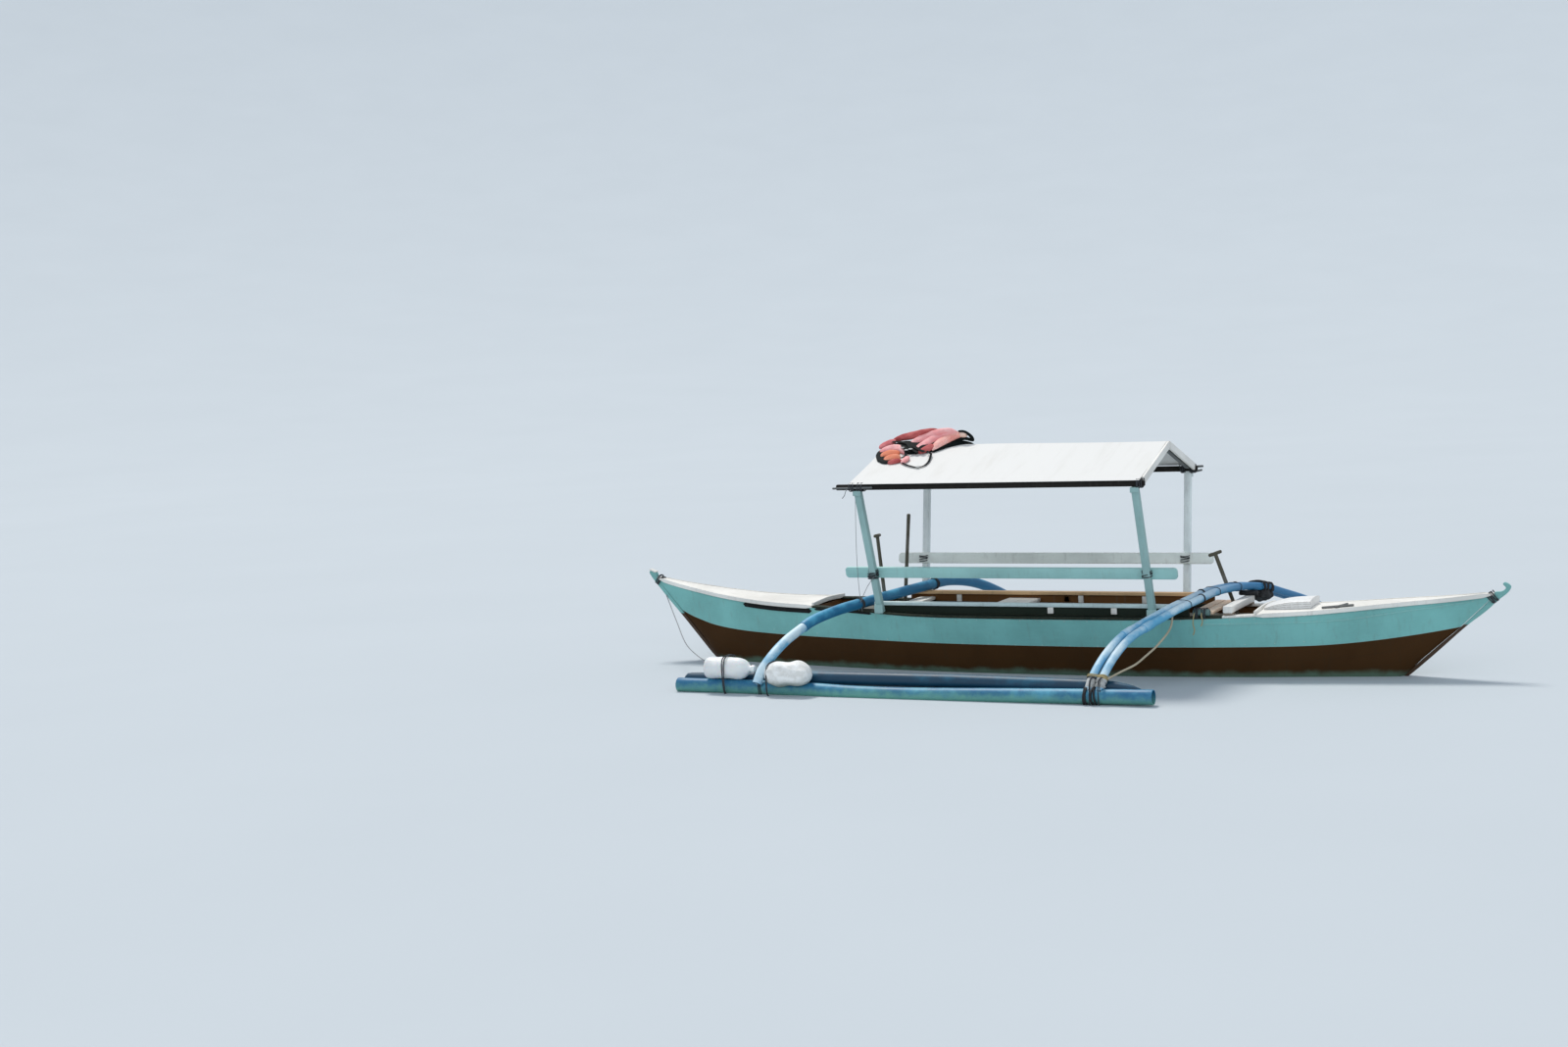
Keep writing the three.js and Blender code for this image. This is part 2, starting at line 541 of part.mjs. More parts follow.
// White bottle and bag lashed on the near float
const JUG = [
  [0, 0], [0, 52], [0.02, 74], [0.06, 82], [0.3, 82], [0.34, 79], [0.38, 82], [0.66, 82], [0.8, 66],
  [0.87, 36], [0.9, 21], [0.93, 21], [0.93, 26], [1, 26], [1, 0],
];
add('lashed_bottle', sweep([[-2008, -1476, 180], [-1807, -1484.3, 179.8], [-1606, -1492.6, 179.6]], JUG, 24), 'jug');
const BAG = [
  [0, 0], [0.02, 40], [0.09, 66], [0.22, 86], [0.38, 92], [0.52, 86], [0.68, 93], [0.84, 84], [0.95, 52], [1, 0],
];
const bag = sweep([[-1500, -1552, 150], [-1410, -1535, 154], [-1280, -1525, 155], [-1142, -1510, 156]], BAG, 18);
add('lashed_bag', cut(bag, fatFloats[0], fatFloats[1], fatSleeves[0]), 'jug');

// Paddles: shaft, grip and blade as one piece
function paddle(foot, head, bladeLength, bladeHalf, across, grip) {
  const f = new THREE.Vector3(...foot);
  const h = new THREE.Vector3(...head);
  const up = h.clone().sub(f).normalize();
  const side = new THREE.Vector3(...across);
  side.addScaledVector(up, -side.dot(up)).normalize();
  const thick = up.clone().cross(side);
  const at = (s, a, b) => f.clone().addScaledVector(up, s).addScaledVector(side, a).addScaledVector(thick, b).toArray();
  const rows = [[0, 0.55], [18, 0.86], [70, 1], [200, 0.96], [300, 0.7], [bladeLength, 0.25]];
  const blade = loft(rows.map(([s, w]) => [
    at(s, -bladeHalf * w, 0), at(s, 0, -6), at(s, bladeHalf * w, 0), at(s, 0, 6),
  ].map((p) => p)));
  const shaft = bar([at(60, 0, 0), at(f.distanceTo(h) / 2, 0, 0), head], 14, 2, 12);
  const parts = [shaft];
  if (grip) {
    const top = f.distanceTo(h);
    parts.push(bar([at(top, -52, 0), at(top, 0, 0), at(top, 52, 0)], 13, 2, 12));
  }
  return join(blade, ...parts);
}
add('paddle_1', paddle([-1130, -60, FLOOR_Z + 14.6], [-1224, -62, 1004], 400, 68, [0, 1, 0], true), 'darkWood');
add('paddle_2', paddle([-1156, 162, FLOOR_Z + 24], [-1051, 170, 1150], 380, 50, [0, 1, 0], false), 'darkWood');
add('paddle_3', paddle([1642.2, 196, 30], [1359.2, 196, 838], 360, 60, [1, 0, 0], true), 'darkWood');

// Life jacket folded over the aft part of the ridge. A pad is a row of domes across a line in plan
const DOME = [[-1, 0], [-0.93, 0.45], [-0.72, 0.8], [-0.38, 0.97], [0, 1], [0.38, 0.97], [0.72, 0.8], [0.93, 0.45], [1, 0]];
const PAD_STEPS = 12;
const pad = (middle, halves, rise) => {
  const line = smooth(middle.map(([x, y]) => [x, y, 0]), PAD_STEPS);
  return loft(line.map(([x, y], i) => {
    const [a, b] = [line[Math.max(i - 1, 0)], line[Math.min(i + 1, PAD_STEPS)]];
    const long = Math.hypot(b[0] - a[0], b[1] - a[1]);
    const [nx, ny] = [(a[1] - b[1]) / long, (b[0] - a[0]) / long];
    const end = Math.sqrt(Math.max(1 - Math.abs((2 * i) / PAD_STEPS - 1) ** 6, 0.1));
    const w = read(halves, i / PAD_STEPS, 1) * end;
    const across = DOME.map(([v, h]) => [x + nx * v * w, y + ny * v * w, h]);
    const high = across.map(([px, py, h]) => [px, py, roofLow(py) + 11 + rise * h * end]);
    const low = across.slice(1, -1).reverse().map(([px, py]) => [px, py, roofLow(py) - 20]);
    return high.concat(low);
  }));
};
const backPad = pad([[-1040, -70], [-880, -52], [-700, -62], [-520, -38], [-395, -5]],
  [[0, 80], [0.3, 120], [0.5, 138], [0.75, 98], [1, 48]], 122);
const frontPad = pad([[-1118, -130], [-1048, -208], [-945, -275], [-835, -300]],
  [[0, 82], [0.35, 112], [0.7, 118], [1, 90]], 80);
const fatRoofRing = (x) => roofProfile.map(([y, rise]) => [x, y, roofLow(y) + (rise > 0 ? 10.4 : -60)]);
const fatRoof = loft([fatRoofRing(ROOF_AFT - 60), fatRoofRing(ROOF_FORE)]);
add('life_jacket', cut(join(backPad, frontPad), fatRoof), 'jacket');

// Slack rope at the fore booms and the stern line
const BOOM_ROPE = [
  [1244.6, -555.0, 508.3], [1247, -620, 410], [1206, -800, 311], [1165, -980, 253], [1135, -1120, 217],
  [1085, -1290, 193], [1035, -1440, 165.4],
];
const STERN_LINE = [[-3146, -19.6, 516], [-2866, -370, 348], [-2580, -750, 232], [-2300, -1080, 195],
  [-2011.1, -1440, 205]];
add('boom_rope', bar(BOOM_ROPE, 7.5, 40, 8), 'rope');
add('stern_line', bar(STERN_LINE, 3.5, 40, 8), 'line');

export default root;
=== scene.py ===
# %% [markdown]
# # A small outrigger canoe, dressed for its picture
# The boat is a narrow planked hull with a gable canopy, three bent pipes across it and a pair of plastic float
# pipes on each side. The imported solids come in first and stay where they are. Every new piece is worked out in
# the same metres: +X to the bow, +Y to port, +Z up, with the origin on the waterline amidships.

# %% Load the solids
import math
import bpy
import numpy as np
from mathutils import Matrix, Vector


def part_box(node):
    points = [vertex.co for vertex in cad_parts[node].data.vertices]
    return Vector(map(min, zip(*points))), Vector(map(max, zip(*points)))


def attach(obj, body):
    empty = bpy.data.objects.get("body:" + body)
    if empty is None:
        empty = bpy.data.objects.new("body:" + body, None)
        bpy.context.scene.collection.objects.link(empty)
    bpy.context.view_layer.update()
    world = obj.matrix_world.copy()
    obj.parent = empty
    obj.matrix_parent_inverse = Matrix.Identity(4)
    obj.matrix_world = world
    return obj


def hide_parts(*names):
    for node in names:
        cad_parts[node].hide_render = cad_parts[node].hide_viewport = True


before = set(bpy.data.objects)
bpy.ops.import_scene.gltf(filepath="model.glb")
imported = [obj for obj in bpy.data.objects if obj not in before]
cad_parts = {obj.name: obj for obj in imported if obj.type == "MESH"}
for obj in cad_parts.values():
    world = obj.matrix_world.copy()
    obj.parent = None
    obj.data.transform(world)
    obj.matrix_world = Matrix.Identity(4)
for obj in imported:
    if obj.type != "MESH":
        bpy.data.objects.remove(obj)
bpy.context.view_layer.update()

MM = 0.001

# %% [markdown]
# ## Camera, floor and light
# The picture was taken from the starboard bow with a normal lens, a little above the roof. One way is to turn a
# camera by trial; here its place and its two directions were solved from points of the boat, so they are written
# down as vectors and squared up. The floor lies at the waterline, because that is what the boat rests in. A soft
# high light from the far side of the stern leaves the near side in open shade, as the sun did, and a dim, very wide
# one, low on the near side, lifts that shade a little.

# %% Camera
EYE = Vector((5.581, -15.430, 2.574))
AHEAD = Vector((-0.4419, 0.8930, -0.0855)).normalized()
UPWARD = Vector((0.0054, 0.0980, 0.9952))
UPWARD = (UPWARD - AHEAD * UPWARD.dot(AHEAD)).normalized()
RIGHT = AHEAD.cross(UPWARD)
lens = bpy.data.cameras.new("camera")
lens.lens, lens.sensor_width, lens.clip_end = 50.0, 36.0, 1500.0
camera = bpy.data.objects.new("camera", lens)
camera.matrix_world = Matrix([[RIGHT[i], UPWARD[i], -AHEAD[i], EYE[i]] for i in range(3)] + [[0, 0, 0, 1]])
bpy.context.scene.collection.objects.link(camera)
bpy.context.scene.camera = camera
print("camera looks down by", round(math.degrees(math.asin(-AHEAD.z)), 2), "degrees")


# %% Node helpers
def put(tree, kind, settings=None, out=0, **sockets):
    """Adds one shader node. A socket is filled by its name, or by its number as _0, _1: a value is set, and a socket
    is linked."""
    node = tree.nodes.new("ShaderNode" + kind)
    for key, value in (settings or {}).items():
        setattr(node, key, value)
    for key, value in sockets.items():
        socket = node.inputs[int(key[1:])] if key[1:].isdigit() else node.inputs[key.replace("_", " ")]
        if isinstance(value, bpy.types.NodeSocket):
            tree.links.new(value, socket)
        else:
            socket.default_value = value
    return node.outputs[out]


def sums(tree, how, a, b):
    """One Math node: a how b."""
    return put(tree, "Math", {"operation": how}, _0=a, _1=b)


def times(tree, a, b):
    """a multiplied by b."""
    return sums(tree, "MULTIPLY", a, b)


def coordinate(tree, vector, k):
    """Coordinate k of a vector: 0 for x, 1 for y, 2 for z."""
    return put(tree, "SeparateXYZ", out=k, Vector=vector)


def between(tree, value, low, high, top=1.0):
    """Mask that rises smoothly from 0 at low to top at high."""
    return put(tree, "MapRange", {"interpolation_type": "SMOOTHSTEP"},
               Value=value, From_Min=low, From_Max=high, To_Max=top)


# %% Colours and noise
def shade(colour, factor):
    """The same hue, darker or lighter."""
    return tuple(min(1.0, c * factor) for c in colour)


def tint(tree, mask, a, b):
    """Colour a where the mask is 0 and b where it is 1."""
    full = lambda c: c if isinstance(c, bpy.types.NodeSocket) else (*c, 1.0)
    return put(tree, "Mix", {"data_type": "RGBA"}, out=2, _0=mask, _6=full(a), _7=full(b))


def noise(tree, where, scale, detail=4.0, rough=0.55, stretch=None):
    """Noise value, with its space stretched first where stretch gives three factors."""
    if stretch:
        where = put(tree, "Mapping", Vector=where, Scale=stretch)
    return put(tree, "TexNoise", Vector=where, Scale=scale, Detail=detail, Roughness=rough)


print("a grey of 0.5, shaded by 0.84, is", shade((0.5, 0.5, 0.5), 0.84)[0])


# %% The start and the end of a material
def bench(name, rough=0.5, **sockets):
    """A new material: gives it, its tree, its main shader, Object coordinates and UV."""
    material = bpy.data.materials.new(name)
    material.use_nodes = True
    tree = material.node_tree
    shader = tree.nodes["Principled BSDF"]
    shader.inputs["Roughness"].default_value = rough
    for key, value in sockets.items():
        shader.inputs[key.replace("_", " ")].default_value = value
    print("finish:", name)
    return material, tree, shader, put(tree, "TexCoord", out=3), put(tree, "TexCoord", out=2)


def finish(tree, shader, colour, rough=None, height=None, depth=0.002, strength=0.5):
    """Wires colour, roughness and a bump of the given depth in metres into the shader."""
    tree.links.new(colour, shader.inputs["Base Color"])
    if rough is not None:
        tree.links.new(rough, shader.inputs["Roughness"])
    if height is not None:
        bump = put(tree, "Bump", Strength=strength, Distance=depth, Height=height)
        tree.links.new(bump, shader.inputs["Normal"])


# %% Floor
def studio_floor(flat=30, rim=110, rise=230, sides=96):
    """Pale matt floor that turns up far behind: z = (r - flat)^2 / rise out to the rim, so no horizon shows."""
    material, tree, shader, spot, _ = bench("floor_pale", 0.85)
    finish(tree, shader, tint(tree, noise(tree, spot, 0.35, 3.0), (0.50, 0.545, 0.58), (0.53, 0.575, 0.61)))
    r = np.r_[12, flat, np.linspace(flat + 3, rim, 24)]
    a = np.linspace(0, 2 * np.pi, sides, endpoint=False)
    height = np.repeat(np.maximum(r - flat, 0) ** 2 / rise, sides).reshape(-1, sides)
    rings = np.stack([np.outer(r, np.cos(a)), np.outer(r, np.sin(a)), height], 2)
    i, j = np.divmod(np.arange((len(r) - 1) * sides), sides)
    k = (j + 1) % sides
    quads = np.stack([i * sides + j, (i + 1) * sides + j, (i + 1) * sides + k, i * sides + k], 1)
    mesh = bpy.data.meshes.new("floor")
    mesh.from_pydata(rings.reshape(-1, 3).tolist(), [], quads.tolist() + [list(range(sides))])
    mesh.shade_smooth()
    mesh.materials.append(material)
    floor = bpy.data.objects.new("floor", mesh)
    bpy.context.scene.collection.objects.link(floor)


studio_floor()


# %% Light
def lamp(name, towards, strength, colour, spread):
    """Sun lamp whose light travels along towards; spread is its width in degrees, which softens the shadows."""
    light = bpy.data.lights.new(name, "SUN")
    light.energy, light.color, light.angle = strength, colour, math.radians(spread)
    holder = bpy.data.objects.new(name, light)
    holder.rotation_mode = "QUATERNION"
    holder.rotation_quaternion = Vector(towards).to_track_quat("-Z", "Y")
    bpy.context.scene.collection.objects.link(holder)


lamp("key", (0.38, -0.42, -1.0), 2.25, (1.0, 0.97, 0.92), 14)
lamp("fill", (-0.25, 1.0, -0.35), 0.80, (0.86, 0.94, 1.0), 60)
world = bpy.data.worlds.new("studio")
world.use_nodes = True
sky = world.node_tree.nodes["Background"].inputs
sky["Color"].default_value = (0.78, 0.86, 0.97, 1.0)
sky["Strength"].default_value = 0.62
bpy.context.scene.world = world
bpy.context.scene.view_settings.view_transform = "Standard"
print("lamps:", [(light.name, round(light.energy, 2)) for light in bpy.data.lights])

# %% [markdown]
# ## Shapes from rings
# A plank, a pipe, a rope and the hull itself are all the same thing to a computer: a closed outline carried along
# a line. They could be extruded by hand and bent with modifiers, but here each is an array of rings, ring i, place
# j, three coordinates. One helper turns such arrays into a closed mesh with a UV map in metres, u along the piece
# and v round it, so grain and brush marks follow every board however it leans.

# %% Rings to a piece
def piece(name, stacks, material, nodes=(), crease=38):
    """Closed mesh from stacks of rings, each of shape (rings, places, 3).
    Face (i, j) joins places j and j+1 of rings i and i+1; the two end rings are filled. The signed volume, the sum of
    a . (b x c) over the triangles, tells which way the faces point. Fewer than about 300 rings keep it light."""
    points, faces, uv, start = [], [], [], 0
    for rings in stacks:
        n, m = rings.shape[:2]
        flat = rings.reshape(-1, 3)
        i, j = np.divmod(np.arange((n - 1) * m), m)
        k = (j + 1) % m
        quads = np.stack([i * m + j, i * m + k, (i + 1) * m + k, (i + 1) * m + j], 1)
        lids = np.stack([np.arange(m)[::-1], np.arange(m) + (n - 1) * m])
        fans = np.concatenate([np.stack([np.full(m - 2, lid[0]), lid[1:-1], lid[2:]], 1) for lid in lids])
        triangles = np.concatenate([quads[:, :3], quads[:, [0, 2, 3]], fans])
        a, b, c = (flat[triangles[:, q]] - flat.mean(0) for q in range(3))
        along = np.r_[0, np.cumsum(np.linalg.norm(np.diff(rings, axis=0), axis=2).mean(1))]
        middle = rings[n // 2]
        girth = np.r_[0, np.cumsum(np.linalg.norm(np.roll(middle, -1, 0) - middle, axis=1))]
        u = np.stack([along[i], along[i], along[i + 1], along[i + 1]], 1)
        v = np.stack([girth[j], girth[j + 1], girth[j + 1], girth[j]], 1)
        if np.einsum("ij,ij->", a, np.cross(b, c)) < 0:
            quads, lids, u, v = quads[:, ::-1], lids[:, ::-1], u[:, ::-1], v[:, ::-1]
        wide = np.argsort(np.ptp(middle, axis=0))[::-1][:2]
        points.append(flat)
        faces += (quads + start).tolist() + (lids + start).tolist()
        uv += [np.stack([u.ravel(), v.ravel()], 1)] + [flat[lid][:, wide] for lid in lids]
        start += len(flat)
    return dress(name, np.concatenate(points), faces, np.concatenate(uv), material, nodes, crease)


def dress(name, points, faces, uv, material, nodes, crease):
    """Mesh object from points and faces, smooth but for edges sharper than crease, riding on the boat."""
    mesh = bpy.data.meshes.new(name)
    mesh.from_pydata(points.tolist(), [], faces)
    mesh.uv_layers.new(name="UVMap").data.foreach_set("uv", uv.astype(np.float32).ravel())
    mesh.shade_smooth()
    mesh.set_sharp_from_angle(angle=math.radians(crease))
    mesh.materials.append(material)
    thing = bpy.data.objects.new(name, mesh)
    bpy.context.scene.collection.objects.link(thing)
    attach(thing, "root")
    if nodes:
        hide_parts(*nodes)
    print(name + ":", len(faces), "faces")
    return thing


# %% Smooth lines
def reach_of(line):
    """Length from the start of a line to each of its points."""
    return np.r_[0, np.cumsum(np.linalg.norm(np.diff(line, axis=0), axis=1))]


def read_off(at, where, table):
    """Every column of a table whose rows stand at where, read at the places at."""
    return np.stack([np.interp(at, where, column) for column in table.T], -1)


def cubic(t, a, slope_a, b, slope_b):
    """Cubic that runs from a to b with the given slopes at its ends, at each t from 0 to 1."""
    return ((2 * t**3 - 3 * t**2 + 1) * a + (t**3 - 2 * t**2 + t) * slope_a
            + (3 * t**2 - 2 * t**3) * b + (t**3 - t**2) * slope_b)


def through(points, count=None):
    """Smooth line through points: a cubic between each pair, its end slopes weighed by the square root of the spacing
    (centripetal), then count points spaced evenly by length."""
    p = np.asarray(points, float)
    p = np.vstack([2 * p[0] - p[1], p, 2 * p[-1] - p[-2]])
    d = np.sqrt(np.linalg.norm(np.diff(p, axis=0), axis=1))[:, None]
    a, b, c, e = p[:-3], p[1:-2], p[2:-1], p[3:]
    da, db, dc = d[:-2], d[1:-1], d[2:]
    m1 = ((b - a) / da - (c - a) / (da + db) + (c - b) / db) * db
    m2 = ((c - b) / db - (e - b) / (db + dc) + (e - c) / dc) * db
    t = np.linspace(0, 1, 32, endpoint=False)[:, None]
    line = np.vstack([cubic(t, b[i], m1[i], c[i], m2[i]) for i in range(len(b))] + [p[-2]])
    if count is None:
        return line
    reach = reach_of(line)
    return read_off(np.linspace(0, reach[-1], count), reach, line)


print("a smooth line over a 3 by 4 m corner is", round(reach_of(through([[3, 0], [0, 0], [0, 4]]))[-1], 2), "m long")


# %% A section carried along a line
def carry(line, section, s=None, up=(0, 0, 1)):
    """Section carried along a line: point = line(s) + a * across + b * rise, where across = up x tangent and
    rise = tangent x across. The section is (places, 2), or one for each length s."""
    line = np.asarray(line, float)
    reach = reach_of(line)
    s = reach if s is None else np.asarray(s, float)
    tangent = np.gradient(line, reach, axis=0)
    here, t = (read_off(s, reach, w) for w in (line, tangent))
    t /= np.linalg.norm(t, axis=1)[:, None]
    across = np.cross(np.broadcast_to(np.asarray(up, float), t.shape), t)
    across /= np.linalg.norm(across, axis=1)[:, None]
    rise = np.cross(t, across)
    section = np.broadcast_to(section, (len(s),) + np.shape(section)[-2:])
    return here[:, None] + section[..., :1] * across[:, None] + section[..., 1:] * rise[:, None]


def grid(x, y, z):
    """Rings from x, y and z, each spread to the shape of the largest."""
    return np.stack(np.broadcast_arrays(x, y, z), 2)


def tapered(count, over, least):
    """Sizes for count rings that shrink to least over the first few and the last few."""
    return np.clip(np.minimum(np.arange(count), np.arange(count)[::-1]) / over, least, 1)[:, None, None]


# %% Boards, pipes and turned pieces
def disc(radius=1.0, sides=24):
    """Circle of points."""
    a = np.linspace(0, 2 * np.pi, sides, endpoint=False)
    return radius * np.stack([np.cos(a), np.sin(a)], 1)


def plank(width, height, ease=0.003, steps=3):
    """Outline of a board: a quarter circle of radius ease at each corner."""
    a = np.radians(np.add.outer([0, 90, 180, 270], np.linspace(0, 90, steps + 1))).ravel()
    corner = np.repeat([[1, 1], [-1, 1], [-1, -1], [1, -1]], steps + 1, axis=0)
    return corner * [width / 2 - ease, height / 2 - ease] + ease * np.stack([np.cos(a), np.sin(a)], 1)


def board(a, b, width, height, up=(0, 0, 1), ease=0.003, bow=0.0, steps=9):
    """Straight board from a to b, its end edges rounded too: near an end the outline shrinks by ease (1 - sin q) at
    ease (1 - cos q) from it. bow lifts the middle by a half sine."""
    a, b = np.asarray(a, float), np.asarray(b, float)
    length = np.linalg.norm(b - a)
    t = np.linspace(0, 1, 17)[:, None]
    line = a + (b - a) * t + np.asarray(up, float) * bow * np.sin(np.pi * t)
    q = np.linspace(0, np.pi / 2, 4)
    near, inset = ease * (1 - np.cos(q)), ease * (1 - np.sin(q))
    s = np.r_[near, np.linspace(ease, length - ease, steps)[1:-1], length - near[::-1]]
    inset = np.r_[inset, np.zeros(steps - 2), inset[::-1]]
    size = 1 - 2 * inset[:, None] / np.array([width, height])
    return carry(line, plank(width, height, ease) * size[:, None], s, up)


def turned(line, rows, sides=24, up=(0, 0, 1)):
    """Round piece along a line; each row is (length along it, radius), so a lip may turn back inside."""
    s, r = np.asarray(rows, float).T
    return carry(line, disc(1.0, sides) * r[:, None, None], s, up)


def pipe(line, radius, wall=0.004, deep=0.06, sides=26, rings=60, up=(0, 0, 1)):
    """Pipe that is open at both ends: a lip of the wall's width, a bore that goes deep in, and a plug there."""
    length = reach_of(np.asarray(line, float))[-1]
    q = np.linspace(0, np.pi / 2, 4)
    lip = [(deep, radius - wall), (0.0, radius - wall)]
    lip += [(0.5 * wall * (1 - math.cos(x)), radius - 0.5 * wall * (1 - math.sin(x))) for x in q]
    body = [(x, radius) for x in np.linspace(0.5 * wall, length - 0.5 * wall, rings)[1:-1]]
    return turned(line, lip + body + [(length - x, r) for x, r in lip[::-1]], sides, up)


print("a board has", board([0, 0, 0], [1, 0, 0], 0.1, 0.02).shape[:2], "rings and places")


# %% Windings
def wound(centre, side, over, half, turns, cord, pitch=None, sides=8, seed=0):
    """Cord wound round something: point = centre + cos q * side + sin q * over + a step along side x over for each
    turn. half is the half size along side and over; the path is a soft rectangle, and it wobbles by a quarter cord."""
    side, over = (np.asarray(v, float) / np.linalg.norm(v) for v in (side, over))
    axis = np.cross(side, over)
    pitch = 2.1 * cord if pitch is None else pitch
    q = np.linspace(0, 2 * np.pi * turns, int(26 * turns) + 1)
    c, z = np.cos(q + 1.1), np.sin(q + 1.1)
    square = np.abs(c) ** 4 + np.abs(z) ** 4
    grow = square ** -0.25 if half[0] != half[1] else np.ones_like(q)
    a, b = (half[0] + cord) * c * grow, (half[1] + cord) * z * grow
    wave = 0.25 * cord * np.sin(3.7 * q + seed)
    step = pitch * (q / (2 * np.pi) - turns / 2) + 0.3 * pitch * np.sin(1.3 * q + 2 * seed)
    line = np.asarray(centre, float) + np.outer(a + wave * c, side)
    line = line + np.outer(b + wave * z, over) + np.outer(step, axis)
    return carry(line, disc(cord, sides), up=axis)


print("a winding of two turns has", len(wound([0, 0, 0], (1, 0, 0), (0, 1, 0), (0.1, 0.1), 2, 0.004)), "rings")

# %% [markdown]
# ## The two free ropes
# A slack laid rope drops from the fore pipes to the near float, and a thin line runs from the stern head to the
# bottle. Both are limp and held at both ends, so they hang in one easy curve. A curve object with a round bevel
# would do, but a laid rope shows its three strands, so the outline here has three lobes that turn along the line.

# %% Rope fibre
def rope_fibre(name, pale, dark, pitch):
    """Rope colour with fibres that run slantwise round it; pitch is the length of one turn of a strand."""
    material, tree, shader, _, uv = bench(name, 0.88)
    lay = put(tree, "Mapping", Vector=uv, Rotation=(0, 0, 0.7), Scale=(2.2 / pitch, 9.0 / pitch, 1))
    fibre = noise(tree, lay, 6.0, 3.0)
    soil = noise(tree, uv, 9.0, 4.0)
    finish(tree, shader, tint(tree, soil, shade(pale, 1.08), dark), height=fibre, depth=0.0012, strength=0.6)
    return material


def laid(line, radius, pitch, strands=3, sides=24):
    """Laid rope: radius * (0.84 + 0.16 |cos(strands/2 * q)|), where q is the angle less 2 pi s / pitch."""
    length = reach_of(line)[-1]
    s = np.linspace(0, length, max(12, int(length / pitch * 9)))
    a = np.linspace(0, 2 * np.pi, sides, endpoint=False)
    lobe = 0.84 + 0.16 * np.abs(np.cos(strands / 2 * (a - (2 * np.pi * s / pitch)[:, None]))) ** 0.8
    section = radius * lobe[..., None] * np.stack([np.cos(a), np.sin(a)], 1)
    return carry(line, section, s, (0.3, 0.2, 1))


TAN_ROPE = rope_fibre("rope_tan", (0.60, 0.52, 0.38), (0.40, 0.33, 0.22), 0.05)
GREY_LINE = rope_fibre("line_grey", (0.30, 0.31, 0.31), (0.14, 0.14, 0.15), 0.02)
DARK_CORD = rope_fibre("cord_dark", (0.055, 0.06, 0.065), (0.02, 0.02, 0.025), 0.02)
YELLOW_ROPE = rope_fibre("rope_yellow", (0.55, 0.46, 0.24), (0.30, 0.22, 0.10), 0.03)

# %% Hang the ropes
BOOM_ROPE = [[1244.6, -555, 508.3], [1247, -620, 410], [1206, -800, 311], [1165, -980, 253], [1135, -1120, 217],
             [1085, -1290, 193], [1035, -1440, 165.4]]
STERN_LINE = [[-3146, -19.6, 516], [-2866, -370, 348], [-2580, -750, 232], [-2300, -1080, 195], [-2011.1, -1440, 205]]


def hang(name, points, radius, pitch, material, nodes=(), count=36):
    """A free cord along the smooth line through its points, in millimetres."""
    line = through(np.array(points, float) * MM, count)
    rope = piece(name, [laid(line, radius * MM, pitch * MM)], material, nodes)
    return line


hang("slack_rope", BOOM_ROPE, 7.5, 52, TAN_ROPE, ["boom_rope"])
hang("stern_line_cord", STERN_LINE, 3.5, 24, GREY_LINE, ["stern_line"])

# %% [markdown]
# ## Paint, wood and plastic
# The boat is brush painted: enamel over plywood and sawn planks, bleached on top, streaked by rain and chipped at
# the edges. An image texture would repeat and needs a file; here each finish is a small network. Clouds vary the
# colour, a noise stretched along the board gives brush marks, one stretched downwards gives runs of dirt, and the
# Bevel node finds the edges, where the paint has worn through.

# %% Brushed paint
def brushed(name, coat, under, by="board", rough=0.5, wear=0.5, dirt=0.35, soil=(0.16, 0.14, 0.11), tide=None,
            seams=0.0, foot=None):
    """Old brush paint. coat is its colour and under what shows where it is gone. by is board for marks along the
    piece's UV, or hull for marks along X. wear and dirt go from 0 to 1. tide is (height, colour) of the growth at the
    waterline, seams the spacing of the plank seams round the piece, and foot (height, colour) of the bottom paint."""
    material, tree, shader, spot, uv = bench(name, rough)
    where = uv if by == "board" else spot
    brush = noise(tree, where, 1.0, 5.0, 0.6, (5, 110, 110))
    cloud = noise(tree, spot, 2.6, 5.0)
    run = noise(tree, spot, 1.0, 4.0, 0.6, (30, 30, 2.4))
    fine = noise(tree, spot, 55.0, 6.0, 0.65)
    worn = put(tree, "VectorMath", {"operation": "DOT_PRODUCT"}, out=1,
               _0=put(tree, "Bevel", {"samples": 4}, Radius=0.006), _1=put(tree, "NewGeometry", out=1))
    edge = between(tree, worn, 0.995, 0.90)
    colour = tint(tree, between(tree, cloud, 0.3, 0.75), shade(coat, 1.07), shade(coat, 0.84))
    colour = tint(tree, between(tree, brush, 0.45, 0.85, 0.35), colour, shade(coat, 1.16))
    colour = tint(tree, between(tree, run, 0.52, 0.80, dirt), colour, soil)
    flaking = sums(tree, "ADD", fine, times(tree, edge, 0.34))
    chip = between(tree, flaking, 0.80 - 0.10 * wear, 0.85 - 0.10 * wear)
    colour = tint(tree, times(tree, chip, 0.9), colour, under)
    height = sums(tree, "SUBTRACT", times(tree, brush, 0.5), chip)
    if seams:
        line = sums(tree, "PINGPONG", coordinate(tree, uv, 1), seams / 2)
        groove = between(tree, line, 0.0016, 0.0004)
        colour = tint(tree, times(tree, groove, 0.55), colour, soil)
        height = sums(tree, "SUBTRACT", height, groove)
    if tide:
        level = coordinate(tree, spot, 2)
        ragged = sums(tree, "ADD", level, times(tree, noise(tree, spot, 9.0, 5.0), -tide[0]))
        colour = tint(tree, between(tree, ragged, 0.35 * tide[0], -0.45 * tide[0], 0.9), colour, tide[1])
    if foot:
        below = sums(tree, "ADD", coordinate(tree, spot, 2), times(tree, cloud, 0.02))
        colour = tint(tree, between(tree, below, foot[0] + 0.014, foot[0] + 0.006), colour, foot[1])
    gloss = put(tree, "MapRange", Value=cloud, To_Min=rough - 0.12, To_Max=rough + 0.16)
    finish(tree, shader, colour, gloss, height, 0.0012, 0.45)
    return material


